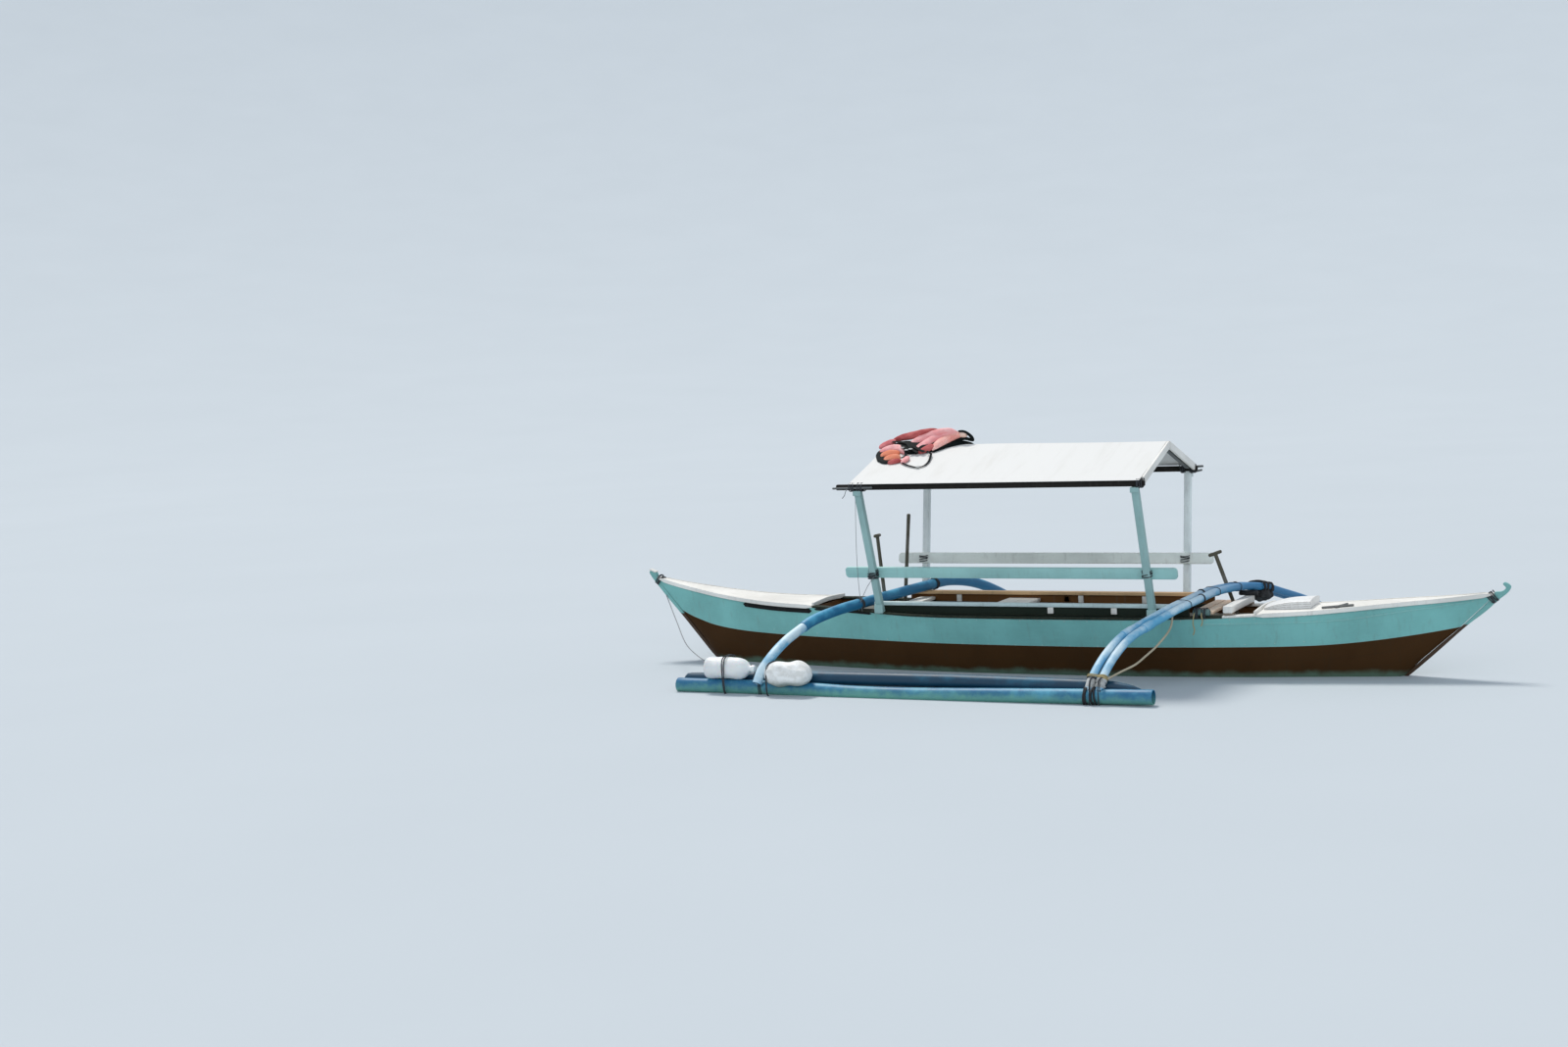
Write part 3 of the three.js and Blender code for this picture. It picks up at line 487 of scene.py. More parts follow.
# %% The paints
ALGAE = (0.10, 0.17, 0.12)
BOTTOM = (0.050, 0.020, 0.0035)
TEAL = brushed("paint_teal", (0.20, 0.51, 0.485), (0.42, 0.50, 0.47), "hull", 0.46, 0.45, 0.22)
TEAL_BOARD = brushed("paint_teal_board", (0.36, 0.64, 0.61), (0.45, 0.50, 0.46), "board", 0.50, 0.6, 0.2)
STEM_PAINT = brushed("paint_stem", (0.20, 0.48, 0.455), (0.42, 0.50, 0.47), "hull", 0.46, 0.45, 0.22,
                     foot=(0.372, BOTTOM))
BROWN = brushed("paint_bottom", BOTTOM, (0.15, 0.075, 0.03), "hull", 0.7, 0.4, 0.35, (0.03, 0.02, 0.010),
                tide=(0.07, ALGAE), seams=0.11)
WHITE = brushed("paint_white", (0.83, 0.80, 0.74), (0.50, 0.44, 0.36), "hull", 0.48, 0.45, 0.25, (0.36, 0.31, 0.25))
WHITE_BOARD = brushed("paint_white_board", (0.83, 0.81, 0.76), (0.46, 0.40, 0.33), "board", 0.5, 0.6, 0.3,
                      (0.34, 0.29, 0.24))
CREAM = brushed("paint_cream", (0.70, 0.66, 0.56), (0.36, 0.28, 0.21), "board", 0.52, 0.7, 0.3)
POST_NEAR = brushed("paint_post_near", (0.31, 0.49, 0.475), (0.60, 0.62, 0.58), "board", 0.5, 0.8, 0.25)
POST_FAR = brushed("paint_post_far", (0.82, 0.88, 0.87), (0.42, 0.42, 0.38), "board", 0.5, 0.7, 0.25)
PALE_BOARD = brushed("paint_grey_green", (0.88, 0.93, 0.87), (0.34, 0.27, 0.20), "board", 0.55, 0.6, 0.3)
# sunlit tan of the far rail cap: painted sunlight on the rail's paint
RAIL_SUNLIT = brushed("paint_sunlit_tan", (0.72, 0.46, 0.24), (0.36, 0.24, 0.13), "board", 0.55, 0.7, 0.3)
# near-black umber: painted shade under the rail cap and along the gunwale, on plank that is brown
UMBER_SHADE = brushed("paint_umber_shade", (0.016, 0.024, 0.017), (0.10, 0.09, 0.06), "board", 0.75, 0.5, 0.2, (0.03, 0.03, 0.02))
# cool pale of the near rail cap: painted shade on the same rail paint
RAIL_SHADED = brushed("paint_shaded_rail_pale", (0.55, 0.68, 0.68), (0.42, 0.40, 0.34), "board", 0.5, 0.6, 0.25)
PLANK_WARM = brushed("paint_plank", (0.95, 0.69, 0.50), (0.74, 0.48, 0.30), "board", 0.6, 0.7, 0.35)
RED_PAINT = brushed("paint_red", (0.55, 0.05, 0.04), (0.60, 0.20, 0.14), "board", 0.5, 0.5, 0.3)
CHOCK = brushed("paint_chock", (0.11, 0.20, 0.19), (0.05, 0.06, 0.05), "board", 0.6, 0.7, 0.5, (0.03, 0.03, 0.03))
# black: a rub strip under the aft deck's edge, and a painted shadow line under the gunwale's edge
BLACK_AND_SHADOW = brushed("paint_black_and_shadow", (0.008, 0.009, 0.009), (0.06, 0.055, 0.05), "board", 0.55, 0.6, 0.2,
                (0.10, 0.09, 0.08))
EAVE_DARK = brushed("paint_eave", (0.014, 0.012, 0.010), (0.16, 0.12, 0.09), "board", 0.6, 0.7, 0.3,
                    (0.08, 0.07, 0.06))
INSIDE = brushed("paint_inside", (0.16, 0.068, 0.020), (0.30, 0.20, 0.12), "board", 0.6, 0.7, 0.4)


# %% Bare wood
def bare_wood(name, pale, dark, rough=0.7):
    """Weathered wood: growth rings as a distorted wave stretched along the piece, with grey patches and fine
    cracks."""
    material, tree, shader, spot, uv = bench(name, rough)
    space = put(tree, "Mapping", Vector=uv, Scale=(1.4, 26, 1))
    ring = put(tree, "TexWave", {"bands_direction": "Y"}, out=1, Vector=space, Scale=1.6, Distortion=5.0, Detail=4.0)
    crack = noise(tree, uv, 1.0, 6.0, 0.65, (7, 240, 1))
    grey = noise(tree, spot, 7.0, 4.0)
    colour = tint(tree, ring, pale, dark)
    colour = tint(tree, between(tree, grey, 0.45, 0.75, 0.5), colour, (0.30, 0.29, 0.27))
    split = between(tree, crack, 0.62, 0.72)
    colour = tint(tree, times(tree, split, 0.5), colour, shade(dark, 0.5))
    height = sums(tree, "SUBTRACT", times(tree, ring, 0.3), split)
    finish(tree, shader, colour, None, height, 0.001, 0.5)
    return material


PADDLE_WOOD = bare_wood("wood_paddle", (0.115, 0.105, 0.070), (0.055, 0.048, 0.032))
SPAR_WOOD = bare_wood("wood_spar", (0.33, 0.25, 0.17), (0.18, 0.12, 0.08))
GREY_WOOD = bare_wood("wood_grey", (0.17, 0.18, 0.18), (0.08, 0.085, 0.085))


# %% Weathered pipe
def weathered(name, coat, faded, fade=0.5, rough=0.34, growth=None, fresh=None):
    """Plastic pipe with paint that the sun has bleached: pale clouds along it, paler on upward faces, which is also a
    painted highlight from above, long scratches, and growth near the water. fresh is the colour of the part past the
    middle of the boat, which has kept its blue."""
    material, tree, shader, spot, uv = bench(name, rough)
    cloud = noise(tree, spot, 3.4, 6.0, 0.62)
    up = coordinate(tree, put(tree, "NewGeometry", out=1), 2)
    # upward faces get more of the pale colour: sun bleaching, and a painted highlight from above
    sun = sums(tree, "ADD", cloud, times(tree, up, 0.10))
    colour = tint(tree, between(tree, sun, 0.62 - 0.25 * fade, 0.88 - 0.25 * fade), coat, faded)
    if fresh:
        past = coordinate(tree, spot, 1)
        patchy = sums(tree, "ADD", past, times(tree, cloud, 0.5))
        colour = tint(tree, between(tree, patchy, -0.25, 0.50, 0.94), colour, fresh)
    fleck = noise(tree, spot, 60.0, 6.0, 0.7)
    colour = tint(tree, between(tree, fleck, 0.66, 0.74, 0.5), colour, shade(faded, 1.15))
    scratch = noise(tree, uv, 1.0, 5.0, 0.6, (2.5, 130, 1))
    mark = between(tree, scratch, 0.64, 0.70)
    colour = tint(tree, times(tree, mark, 0.5), colour, faded)
    if growth:
        level = coordinate(tree, spot, 2)
        ragged = sums(tree, "ADD", level, times(tree, noise(tree, spot, 14.0, 6.0, 0.7), -growth))
        colour = tint(tree, between(tree, ragged, 0.30 * growth, -0.50 * growth, 0.92), colour, (0.14, 0.38, 0.30))
    gloss = put(tree, "MapRange", Value=cloud, To_Min=rough, To_Max=rough + 0.3)
    finish(tree, shader, colour, gloss, sums(tree, "SUBTRACT", times(tree, fleck, 0.3), mark), 0.0008, 0.35)
    return material


PIPE_BLUE = weathered("pipe_blue", (0.010, 0.15, 0.31), (0.07, 0.36, 0.56), 0.5)
PIPE_PALE = weathered("pipe_pale", (0.11, 0.41, 0.65), (0.64, 0.80, 0.88), 0.92, fresh=(0.010, 0.16, 0.36))
FLOAT_BLUE = weathered("float_blue", (0.008, 0.13, 0.27), (0.09, 0.36, 0.50), 0.5, growth=0.11)
# a darker copy of the float blue for the inner pipes: painted shade in the gap between the two float pipes
FLOAT_SHADED = weathered("float_blue_shaded", (0.002, 0.042, 0.085), (0.008, 0.13, 0.22), 0.45, growth=0.04)


# %% Rubber and moulded plastic
def plain_mould(name, colour, spotty, rough, scale=30.0, depth=0.001, **sockets):
    """Moulded or cast surface: slight clouds, specks and a soft uneven bump."""
    material, tree, shader, spot, _ = bench(name, rough, **sockets)
    cloud, speck = noise(tree, spot, scale / 6, 4.0), noise(tree, spot, scale, 5.0, 0.65)
    mixed = tint(tree, between(tree, cloud, 0.35, 0.75), colour, shade(colour, 0.86))
    mixed = tint(tree, between(tree, speck, 0.62, 0.76, 0.6), mixed, spotty)
    gloss = put(tree, "MapRange", Value=cloud, To_Min=rough - 0.08, To_Max=rough + 0.14)
    finish(tree, shader, mixed, gloss, speck, depth, 0.5)
    return material


RUBBER = plain_mould("rubber_black", (0.018, 0.018, 0.020), (0.07, 0.07, 0.07), 0.72)
BOTTLE = plain_mould("bottle_white", (0.86, 0.87, 0.86), (0.52, 0.50, 0.42), 0.36, 26.0, 0.0006, Subsurface_Weight=0.12)
DULL = 0.15
for dark in (BROWN, UMBER_SHADE, BLACK_AND_SHADOW, EAVE_DARK, INSIDE):
    dark.node_tree.nodes["Principled BSDF"].inputs["Specular IOR Level"].default_value = DULL
print("finishes made:", len(bpy.data.materials))

# %% [markdown]
# ## The hull
# The real hull is a log bottom with plywood topsides bent round it, so its skin is one fair surface with no facets.
# It could be a subdivided cage; here the builder's table of offsets is faired: each column of numbers (place, half
# breadth, height) is a smooth function of the station number, and every station gives one ring that goes down the
# outside and back up the inside, 26 mm in.

# %% Table of offsets, in millimetres
SHEER = np.array([
    [-3225, 15, 650], [-3100, 42, 618], [-2950, 74, 588], [-2800, 106, 562], [-2600, 145, 530], [-2400, 182, 505],
    [-2200, 216, 486], [-2000, 248, 474], [-1700, 295, 466], [-1450, 338, 460], [-1200, 378, 449], [-900, 418, 432],
    [-600, 440, 425], [-300, 450, 424], [0, 453, 424], [300, 450, 424], [600, 440, 424], [900, 422, 424],
    [1200, 392, 427], [1450, 358, 433], [1770, 305, 443], [2000, 262, 452], [2200, 224, 463], [2400, 187, 480],
    [2600, 150, 499], [2800, 114, 517], [3000, 79, 534], [3200, 43, 555], [3352, 15, 574]]) * MM
CHINE = np.array([
    [-3005, 14, 394, 390], [-2910, 32, 354, 280], [-2800, 54, 320, 152], [-2690, 77, 292, 20], [-2540, 108, 270, -66],
    [-2360, 142, 254, -108], [-2180, 176, 246, -132], [-1990, 208, 240, -148], [-1700, 258, 235, -160],
    [-1450, 298, 233, -167], [-1200, 332, 230, -170], [-900, 366, 226, -170], [-600, 388, 223, -170],
    [-300, 397, 221, -170], [0, 400, 220, -170], [300, 397, 219, -170], [600, 388, 218, -170], [900, 368, 218, -170],
    [1200, 338, 219, -170], [1450, 306, 219, -168], [1770, 252, 220, -160], [1985, 208, 222, -148],
    [2175, 172, 228, -132], [2360, 134, 240, -110], [2535, 103, 258, -84], [2690, 75, 278, -38], [2850, 50, 302, 114],
    [3000, 28, 328, 246], [3122, 14, 352, 350]]) * MM


# %% Fair the table
def faired(table, fine=8):
    """Every column as a smooth function of the station number: a cubic through each pair of rows, with central
    slopes."""
    slope = np.gradient(table, axis=0)
    t = np.linspace(0, 1, fine, endpoint=False)[:, None]
    rows = [cubic(t, table[i], slope[i], table[i + 1], slope[i + 1]) for i in range(len(table) - 1)]
    return np.vstack(rows + [table[-1]])


RAIL_LINE, CHINE_LINE = faired(SHEER), faired(CHINE)


def sheer_at(x, column):
    """Half breadth (1) or height (2) of the sheer at x."""
    return np.interp(x, RAIL_LINE[:, 0], RAIL_LINE[:, column])


def side_point(x, drop, side=-1.0, out=0.0):
    """Point on the topside, drop metres under the sheer along the plank, and out metres proud of it."""
    t = np.interp(x, RAIL_LINE[:, 0], np.arange(len(RAIL_LINE)))
    top, low = (read_off(t, np.arange(len(line)), line[:, :3]) for line in (RAIL_LINE, CHINE_LINE))
    down = (low - top) / np.linalg.norm(low - top, axis=-1)[..., None]
    point = top + down * np.asarray(drop)[..., None]
    point[..., 1] += out
    return point * [1, side, 1]


print("hull faired over", len(RAIL_LINE), "stations, and", round(2 * RAIL_LINE[:, 1].max(), 3), "m wide at the sheer")

# %% Bottom and topsides
SIDES = ((1, "port"), (-1, "starboard"))
SEAM = 0.35 * MM
FLARE = [[1, 0, 0], [0.965, 0.3, 0], [0.885, 0.56, 0], [0.72, 0.78, 0], [0.45, 0.93, 0], [0.14, 1, 0]]


def bottom_skin():
    """Ring: y = half breadth * f(q), z = top - (top - keel) * d(q) down the outside, then the same with both offsets
    reduced by the shell's thickness up the inside. f and d come from the flare of the section."""
    f, d = through(FLARE, 18)[:, :2].T
    x, b, top, low = (CHINE_LINE[:, k, None] for k in range(4))
    shell_b, shell_k = np.minimum(26 * MM, 0.3 * b), np.minimum(34 * MM, 0.3 * (top - low))
    half = np.concatenate([b * f, ((b - shell_b) * f)[:, ::-1]], 1)
    level = np.concatenate([top - (top - low) * d, (top - (top - low - shell_k) * d)[:, ::-1]], 1)
    # the starboard half goes first downwards outside, and the port half mirrors it
    out, inn = slice(0, 18), slice(18, 36)
    y = np.concatenate([-half[:, out], half[:, out][:, ::-1], half[:, inn][:, ::-1], -half[:, inn]], 1)
    z = np.concatenate([level[:, out], level[:, out][:, ::-1], level[:, inn][:, ::-1], level[:, inn]], 1)
    return grid(x, y, z)


def topside_skin(side):
    """Ring from the chine up the outside, over an eased edge 20 mm thick, and down the inside; side is +1 to port."""
    top, low = RAIL_LINE[:, None, :3], CHINE_LINE[:, None, :3] + [0, 0, SEAM]
    v = np.r_[np.linspace(0, 0.985, 14), 1.0, 1.0, 0.985, np.linspace(0.8, 0, 5)][:, None]
    depth = np.r_[np.zeros(14), 3, 17, 20, np.full(5, 20)] * MM
    rings = low + (top - low) * v
    narrow = np.minimum(1.0, rings[..., 1] / (24 * MM))
    rings[..., 1] -= depth * narrow
    return rings * [1, side, 1]


piece("hull_bottom_skin", [bottom_skin()], BROWN,
      ["lower_hull", "hull_log_aft", "hull_log_fore", "bilge_plank_port", "bilge_plank_starboard"], 50)
for side, word in SIDES:
    piece("topside_plank_" + word, [topside_skin(side)], TEAL, ["topside_" + word], 45)


# %% Bulkheads
def bulkhead(x, thick=0.016):
    """Board across the hull at x: the topside's inner face down to the bottom's inner face."""
    b, z = sheer_at(x, 1) - 0.021, sheer_at(x, 2)
    c, top, low = (np.interp(x, CHINE_LINE[:, 0], CHINE_LINE[:, k]) for k in (1, 2, 3))
    f = through(FLARE, 12)
    right = np.vstack([[b, z - 0.001], np.stack([(c - 0.027) * f[:, 0], top - (top - low - 0.036) * f[:, 1]], 1)])
    outline = np.vstack([right, right[::-1] * [-1, 1]])
    middle = outline.mean(0)
    sizes = np.array([0.99, 1, 1, 0.99])[:, None, None]
    yz = middle + (outline - middle) * sizes
    xs = x + thick * np.array([-0.5, -0.4, 0.4, 0.5])
    return grid(xs[:, None], yz[..., 0], yz[..., 1])


piece("bulkheads", [bulkhead(-1.712), bulkhead(1.782)], INSIDE)


# %% Gunwale boards and trims
def gunwale(side, x0, x1, count):
    """Board lying on the topside's edge between the decks: from 8 mm outside the sheer in to y = 0.30."""
    x = np.linspace(x0, x1, count)
    outer, z = sheer_at(x, 1) + 0.008, sheer_at(x, 2) + SEAM
    inner = np.minimum(0.300, sheer_at(x, 1) - 0.060)
    e = 0.004
    across = np.array([[0, e], [0, 0.012], [e, 0.016], [-e, 0.016], [0, 0.012], [0, e], [-e, 0], [e, 0]])
    near = np.array([1, 1, 1, 0, 0, 0, 0, 1], bool)
    y = np.where(near, inner[:, None] + across[:, 0], outer[:, None] + across[:, 0])
    return grid(x[:, None], side * y, z[:, None] + across[:, 1])


def side_strip(x0, x1, drop, high, proud, side, count=70):
    """Batten along the topside: drop is how far under the sheer its middle lies, as one number or one per point."""
    x = np.linspace(x0, x1, count)
    line = side_point(x, np.broadcast_to(drop, x.shape), side, 0.4 * proud)
    return carry(line, plank(1.2 * proud, high, 0.35 * proud) * tapered(count, 2.0, 0.25))


BATTEN_DROP = np.interp(np.linspace(1.40, 3.24, 70), [1.4, 1.75, 2.1, 2.42, 2.74, 3.09, 3.3],
                        [0.044, 0.046, 0.058, 0.066, 0.052, 0.040, 0.03])
for side, word in SIDES:
    # the gunwale boards take the umber, painted shade along the gunwale under the rail cap
    piece("gunwale_board_" + word, [gunwale(side, -1.699, 1.540, 84)], UMBER_SHADE, ["gunwale_" + word], 30)
    piece("gunwale_end_" + word, [gunwale(side, 1.542, 1.769, 10)], WHITE_BOARD, (), 30)
    piece("seam_batten_" + word, [side_strip(1.40, 3.24, BATTEN_DROP, 0.012, 0.004, side)], TEAL)
    # the first strip is a black rub strip under the aft deck's edge; the second, thin one is a painted shadow line
    # under the gunwale's edge
    piece("black_strip_and_shadow_line_" + word, [side_strip(-2.36, -1.71, 0.026, 0.038, 0.005, side),
                                   side_strip(-1.68, -1.16, 0.009, 0.016, 0.005, side)], BLACK_AND_SHADOW)


# %% [markdown]
# ## Decks and stems
# Each deck is crowned plywood with a trim board along both edges. The crown is highest in the middle and falls to
# the sides, and near the stem, where the boat is narrow, it dies away. The stems are thick boards cut to a curve:
# the bow ends in an upturned hook, the stern in a square head capped in white.

# %% Decks
DECK_THICK = 0.018


def deck_side(x):
    """Half breadth, height of the underside, and crown of a deck at x."""
    return sheer_at(x, 1) + 0.006, sheer_at(x, 2) + SEAM, 0.014 * np.minimum(1, sheer_at(x, 1) / 0.2)


def deck_top(x, y):
    """Height of the deck at x, y: crown * (1 - t^1.6), t being the share of the half breadth."""
    b, z, c = deck_side(x)
    return z + DECK_THICK + c * (1 - np.minimum(1, np.abs(y) / b) ** 1.6)


def deck(x0, x1, count):
    """Ring: along the underside, up an eased edge, and back over the crown."""
    x = np.linspace(x0, x1, count)
    b, z, c = (w[:, None] for w in deck_side(x))
    t = np.linspace(-1, 1, 17)
    rise = c * (1 - np.abs(t) ** 1.6)
    y = np.concatenate([b * t * 0.992, b * t[::-1] * 0.992], 1)
    level = np.concatenate([z + rise, z + DECK_THICK + rise[:, ::-1]], 1)
    rim = np.concatenate([y[:, :17], b, b, y[:, 17:], -b, -b], 1)
    high = np.concatenate([level[:, :17], z + 0.004, z + 0.014, level[:, 17:], z + 0.014, z + 0.004], 1)
    return grid(x[:, None], rim, high)


def deck_edge(x0, x1, side, count=60):
    """Trim board that covers a deck's edge and a little of the plank under it: 31 mm high, 7 mm thick."""
    x = np.linspace(x0, x1, count)
    b, z, _ = deck_side(x)
    line = np.stack([x, side * (b + 0.0045), z + 0.008], 1)
    return carry(line, plank(0.007, 0.031, 0.0022) * tapered(count, 1.5, 0.4))


piece("aft_deck_skin", [deck(-3.222, -1.700, 70)], WHITE, ["aft_deck"], 42)
piece("fore_deck_skin", [deck(1.770, 3.349, 70)], WHITE, ["fore_deck"], 42)
piece("deck_trims", [deck_edge(a, b, side) for a, b in ((-3.20, -1.702), (1.772, 3.33)) for side, _ in SIDES],
      WHITE_BOARD)
# a slim batten stands across the open end of each deck
for word, x, width in (("aft", -1.694, 0.292), ("fore", 1.764, 0.300)):
    y = np.linspace(-width, width, 21)
    line = np.stack([np.full(21, x), y, deck_top(np.full(21, x), y) + 0.004], 1)
    piece("deck_lip_" + word, [carry(line, plank(0.018, 0.034, 0.004))], WHITE_BOARD)

# %% Stems
BOW = [[2535.5, -85], [2690.5, -39.2], [2850.5, 112.6], [3000.5, 244.8], [3122.5, 348.5], [3352.4, 572.5],
       [3352.4, 600], [3392, 600], [3416, 610], [3430, 628], [3404, 652], [3420, 668], [3454, 648], [3463, 628],
       [3440, 591], [3377, 543], [3294, 462], [3164, 364], [2960, 172], [2766, 0], [2640, -84], [2535.5, -110]]
STERN = [[-2540.5, -67.5], [-2690.5, 18.8], [-2800.5, 150.6], [-2910.5, 278.6], [-3005.5, 389], [-3225.4, 649.5],
         [-3225.4, 690], [-3246, 712], [-3284, 724], [-3304, 702], [-3262, 642], [-3150, 508], [-3028, 374],
         [-2850, 165], [-2712, 2], [-2540.5, -96]]


def sawn(profile, thick):
    """Board sawn to a profile in the x, z plane. Each corner is cut twice at about a quarter of its sides, which
    rounds it, and the rim is eased: the outline shrinks towards its own inside at both faces."""
    p = np.array(profile, float) * MM
    for _ in range(2):
        q = np.roll(p, -1, 0)
        p = np.stack([0.78 * p + 0.22 * q, 0.22 * p + 0.78 * q], 1).reshape(-1, 2)
    nxt, back = np.roll(p, -1, 0) - p, p - np.roll(p, 1, 0)
    normal = np.stack([(nxt + back)[:, 1], -(nxt + back)[:, 0]], 1)
    normal /= np.linalg.norm(normal, axis=1)[:, None]
    area = np.sum(p[:, 0] * np.roll(p[:, 1], -1) - p[:, 1] * np.roll(p[:, 0], -1))
    normal *= np.sign(area)
    y = thick * np.array([-0.5, -0.42, -0.28, 0.28, 0.42, 0.5])
    inset = thick * np.array([0.16, 0.05, 0, 0, 0.05, 0.16])
    flat = p - normal * inset[:, None, None]
    return grid(flat[..., 0], y[:, None], flat[..., 1])


piece("bow_hook", [sawn(BOW, 0.030)], STEM_PAINT, ["bow_stem"], 50)
piece("stern_head", [sawn(STERN, 0.034)], STEM_PAINT, ["stern_stem"], 50)
piece("stern_cap", [board([-3.236, 0, 0.7035], [-3.292, 0, 0.7275], 0.050, 0.012, ease=0.004)], WHITE_BOARD)


# %% Bare planks inside the hull
def inner_faces(thing, places, wanted, material):
    """Gives the faces at the wanted places of each ring another finish; the two end faces keep the first."""
    thing.data.materials.append(material)
    index = np.isin(np.arange(len(thing.data.polygons)) % places, wanted).astype(np.int32)
    index[-2:] = 0
    thing.data.polygons.foreach_set("material_index", index)
    print(thing.name, "has", int(index.sum()), "bare faces inside")


inner_faces(bpy.data.objects["hull_bottom_skin"], 72, np.arange(36, 71), INSIDE)
for _, word in SIDES:
    inner_faces(bpy.data.objects["topside_plank_" + word], 22, np.arange(16, 22), INSIDE)

# %% [markdown]
# ## The cockpit
# Between the decks a coaming plank stands on each gunwale board under a rail cap. The near plank and the gunwale
# boards are painted a near-black umber, which is painted shade under the cap over plank that is brown, and the far
# cap is painted a sunlit tan, the near one a shaded pale. Thwarts cross from side to side, loose boards lie on the
# frames, and a heavy white beam crosses before the cockpit. They are plain sawn boards, so each is a rounded outline
# carried straight, with its corners eased by two or three millimetres, because no sawn edge on a used boat is sharp
# and the eased edge is what catches the light.

# %% Coamings, rails and blocks
for side, word in SIDES:
    x = np.linspace(-1.130, 1.305, 60)
    low = sheer_at(x, 2) + 0.0170
    e, half = 0.003, 0.011
    outline = np.array([[-half, e], [e - half, 0], [half - e, 0], [half, e], [half, 1], [-half, 1]])
    y = side * (0.349 + outline[:, 0])
    z = np.where(outline[:, 1] == 1, 0.503, low[:, None] + outline[:, 1])
    # the near coaming gets the umber, painted shade under the rail cap; the far one keeps the brown of the inside
    piece("coaming_plank_" + word, [grid(x[:, None], y, z)], INSIDE if side > 0 else UMBER_SHADE,
          ["coaming_rail_" + word])
    cap = board([-1.137, side * 0.346, 0.5165], [1.311, side * 0.346, 0.5165], 0.056, 0.027, ease=0.005, steps=30)
    # the far cap is painted a sunlit tan and the near one a shaded pale: one rail paint, painted lit and in shade
    piece("rail_cap_" + word, [cap], RAIL_SUNLIT if side > 0 else RAIL_SHADED)
    blocks = [board([x0 - 0.022, side * 0.367, z0], [x0 + 0.022, side * 0.367, z0], 0.014, 0.046, ease=0.003)
              for x0, z0 in ((0.272, 0.479), (0.755, 0.479))]
    blocks += [board([x0 - 0.02, side * 0.3295, 0.472], [x0 + 0.02, side * 0.3295, 0.472], 0.016, 0.055, ease=0.003)
               for x0 in (-0.719, 0.274, 0.775)]
    piece("rail_blocks_" + word, blocks, WHITE_BOARD)
red_block = board([0.16, 0.327, 0.455], [0.16, 0.327, 0.502], 0.040, 0.022, ease=0.004)
piece("rail_block_red", [red_block], RED_PAINT)

# %% Thwarts
THWART_THICK, THWART_END = 0.024, 0.337
for name, paint in (("thwart_aft", WHITE_BOARD), ("thwart_middle", WHITE_BOARD), ("thwart_fore", PLANK_WARM)):
    low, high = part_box(name)
    x, z, width = (low.x + high.x) / 2, high.z - THWART_THICK / 2, high.x - low.x
    boards = [board([x, -THWART_END, z], [x, THWART_END, z], width, THWART_THICK)]
    if width > 0.2:
        # a wide thwart is two boards on two cleats
        boards = [board([x0, -THWART_END, z], [x0, THWART_END, z], width / 2 - 0.002, THWART_THICK)
                  for x0 in (x - width / 4, x + width / 4)]
        boards += [board([low.x + 0.01, y, low.z + 0.007], [high.x - 0.01, y, low.z + 0.007], 0.04, 0.0135)
                   for y in (-0.312, 0.312)]
    piece(name + "_board", boards, paint, [name])

# %% Heavy beam, loose planks and floor
BEAM_THICK = 0.050
low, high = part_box("cross_beam")
x, packing = (low.x + high.x) / 2, high.z - low.z - BEAM_THICK
beam_z, packing_z = high.z - BEAM_THICK / 2, low.z + packing / 2
beam = board([x, low.y, beam_z], [x, high.y, beam_z], high.x - low.x, BEAM_THICK, ease=0.006)
piece("heavy_beam", [beam], WHITE_BOARD, ["cross_beam"])
packs = [board([x, a, packing_z], [x, b, packing_z], 0.060, packing - 0.001)
         for a, b in ((-0.334, -0.25), (0.24, 0.318))]
piece("beam_packing", packs, SPAR_WOOD)
planks = [board([x, -0.312, 0.4690], [x, 0.330, 0.4690], 0.068, 0.022, bow=0.002) for x in (1.357, 1.435)]
piece("fore_planks", planks, PLANK_WARM)
low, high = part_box("floor_board")
floor_z = (low.z + high.z) / 2
planks = [board([a, y, floor_z], [b, y, floor_z], 0.096, 0.014)
          for a, b, y in ((-1.30, 1.296, -0.1005), (-1.29, 1.30, 0), (-1.298, 1.285, 0.1005))]
piece("floor_planks", planks, INSIDE, ["floor_board"])
# the stringers stop at the frames
RUNS = ((-1.69, -1.262), (-1.218, -0.782), (-0.738, 0.238), (0.282, 0.738), (0.782, 1.76))
stringers = [carry(side_point(np.linspace(a, b, 30), np.full(30, 0.07), side, -0.031), plank(0.018, 0.036, 0.004))
             for side, _ in SIDES for a, b in RUNS]
piece("inner_stringers", stringers, CREAM)

# %% [markdown]
# ## The canopy
# Four posts stand on the gunwale boards and lean outwards to two dark eave beams. A ridge pole and rafters carry a
# white sheet, stretched over the ridge and hemmed at the eaves, and two boards close the fore gable. The sheet
# could be one flat plate a side; a real one sags a little between its rafters, so its height is a function
# of both directions, and it is closed as a thin skin.

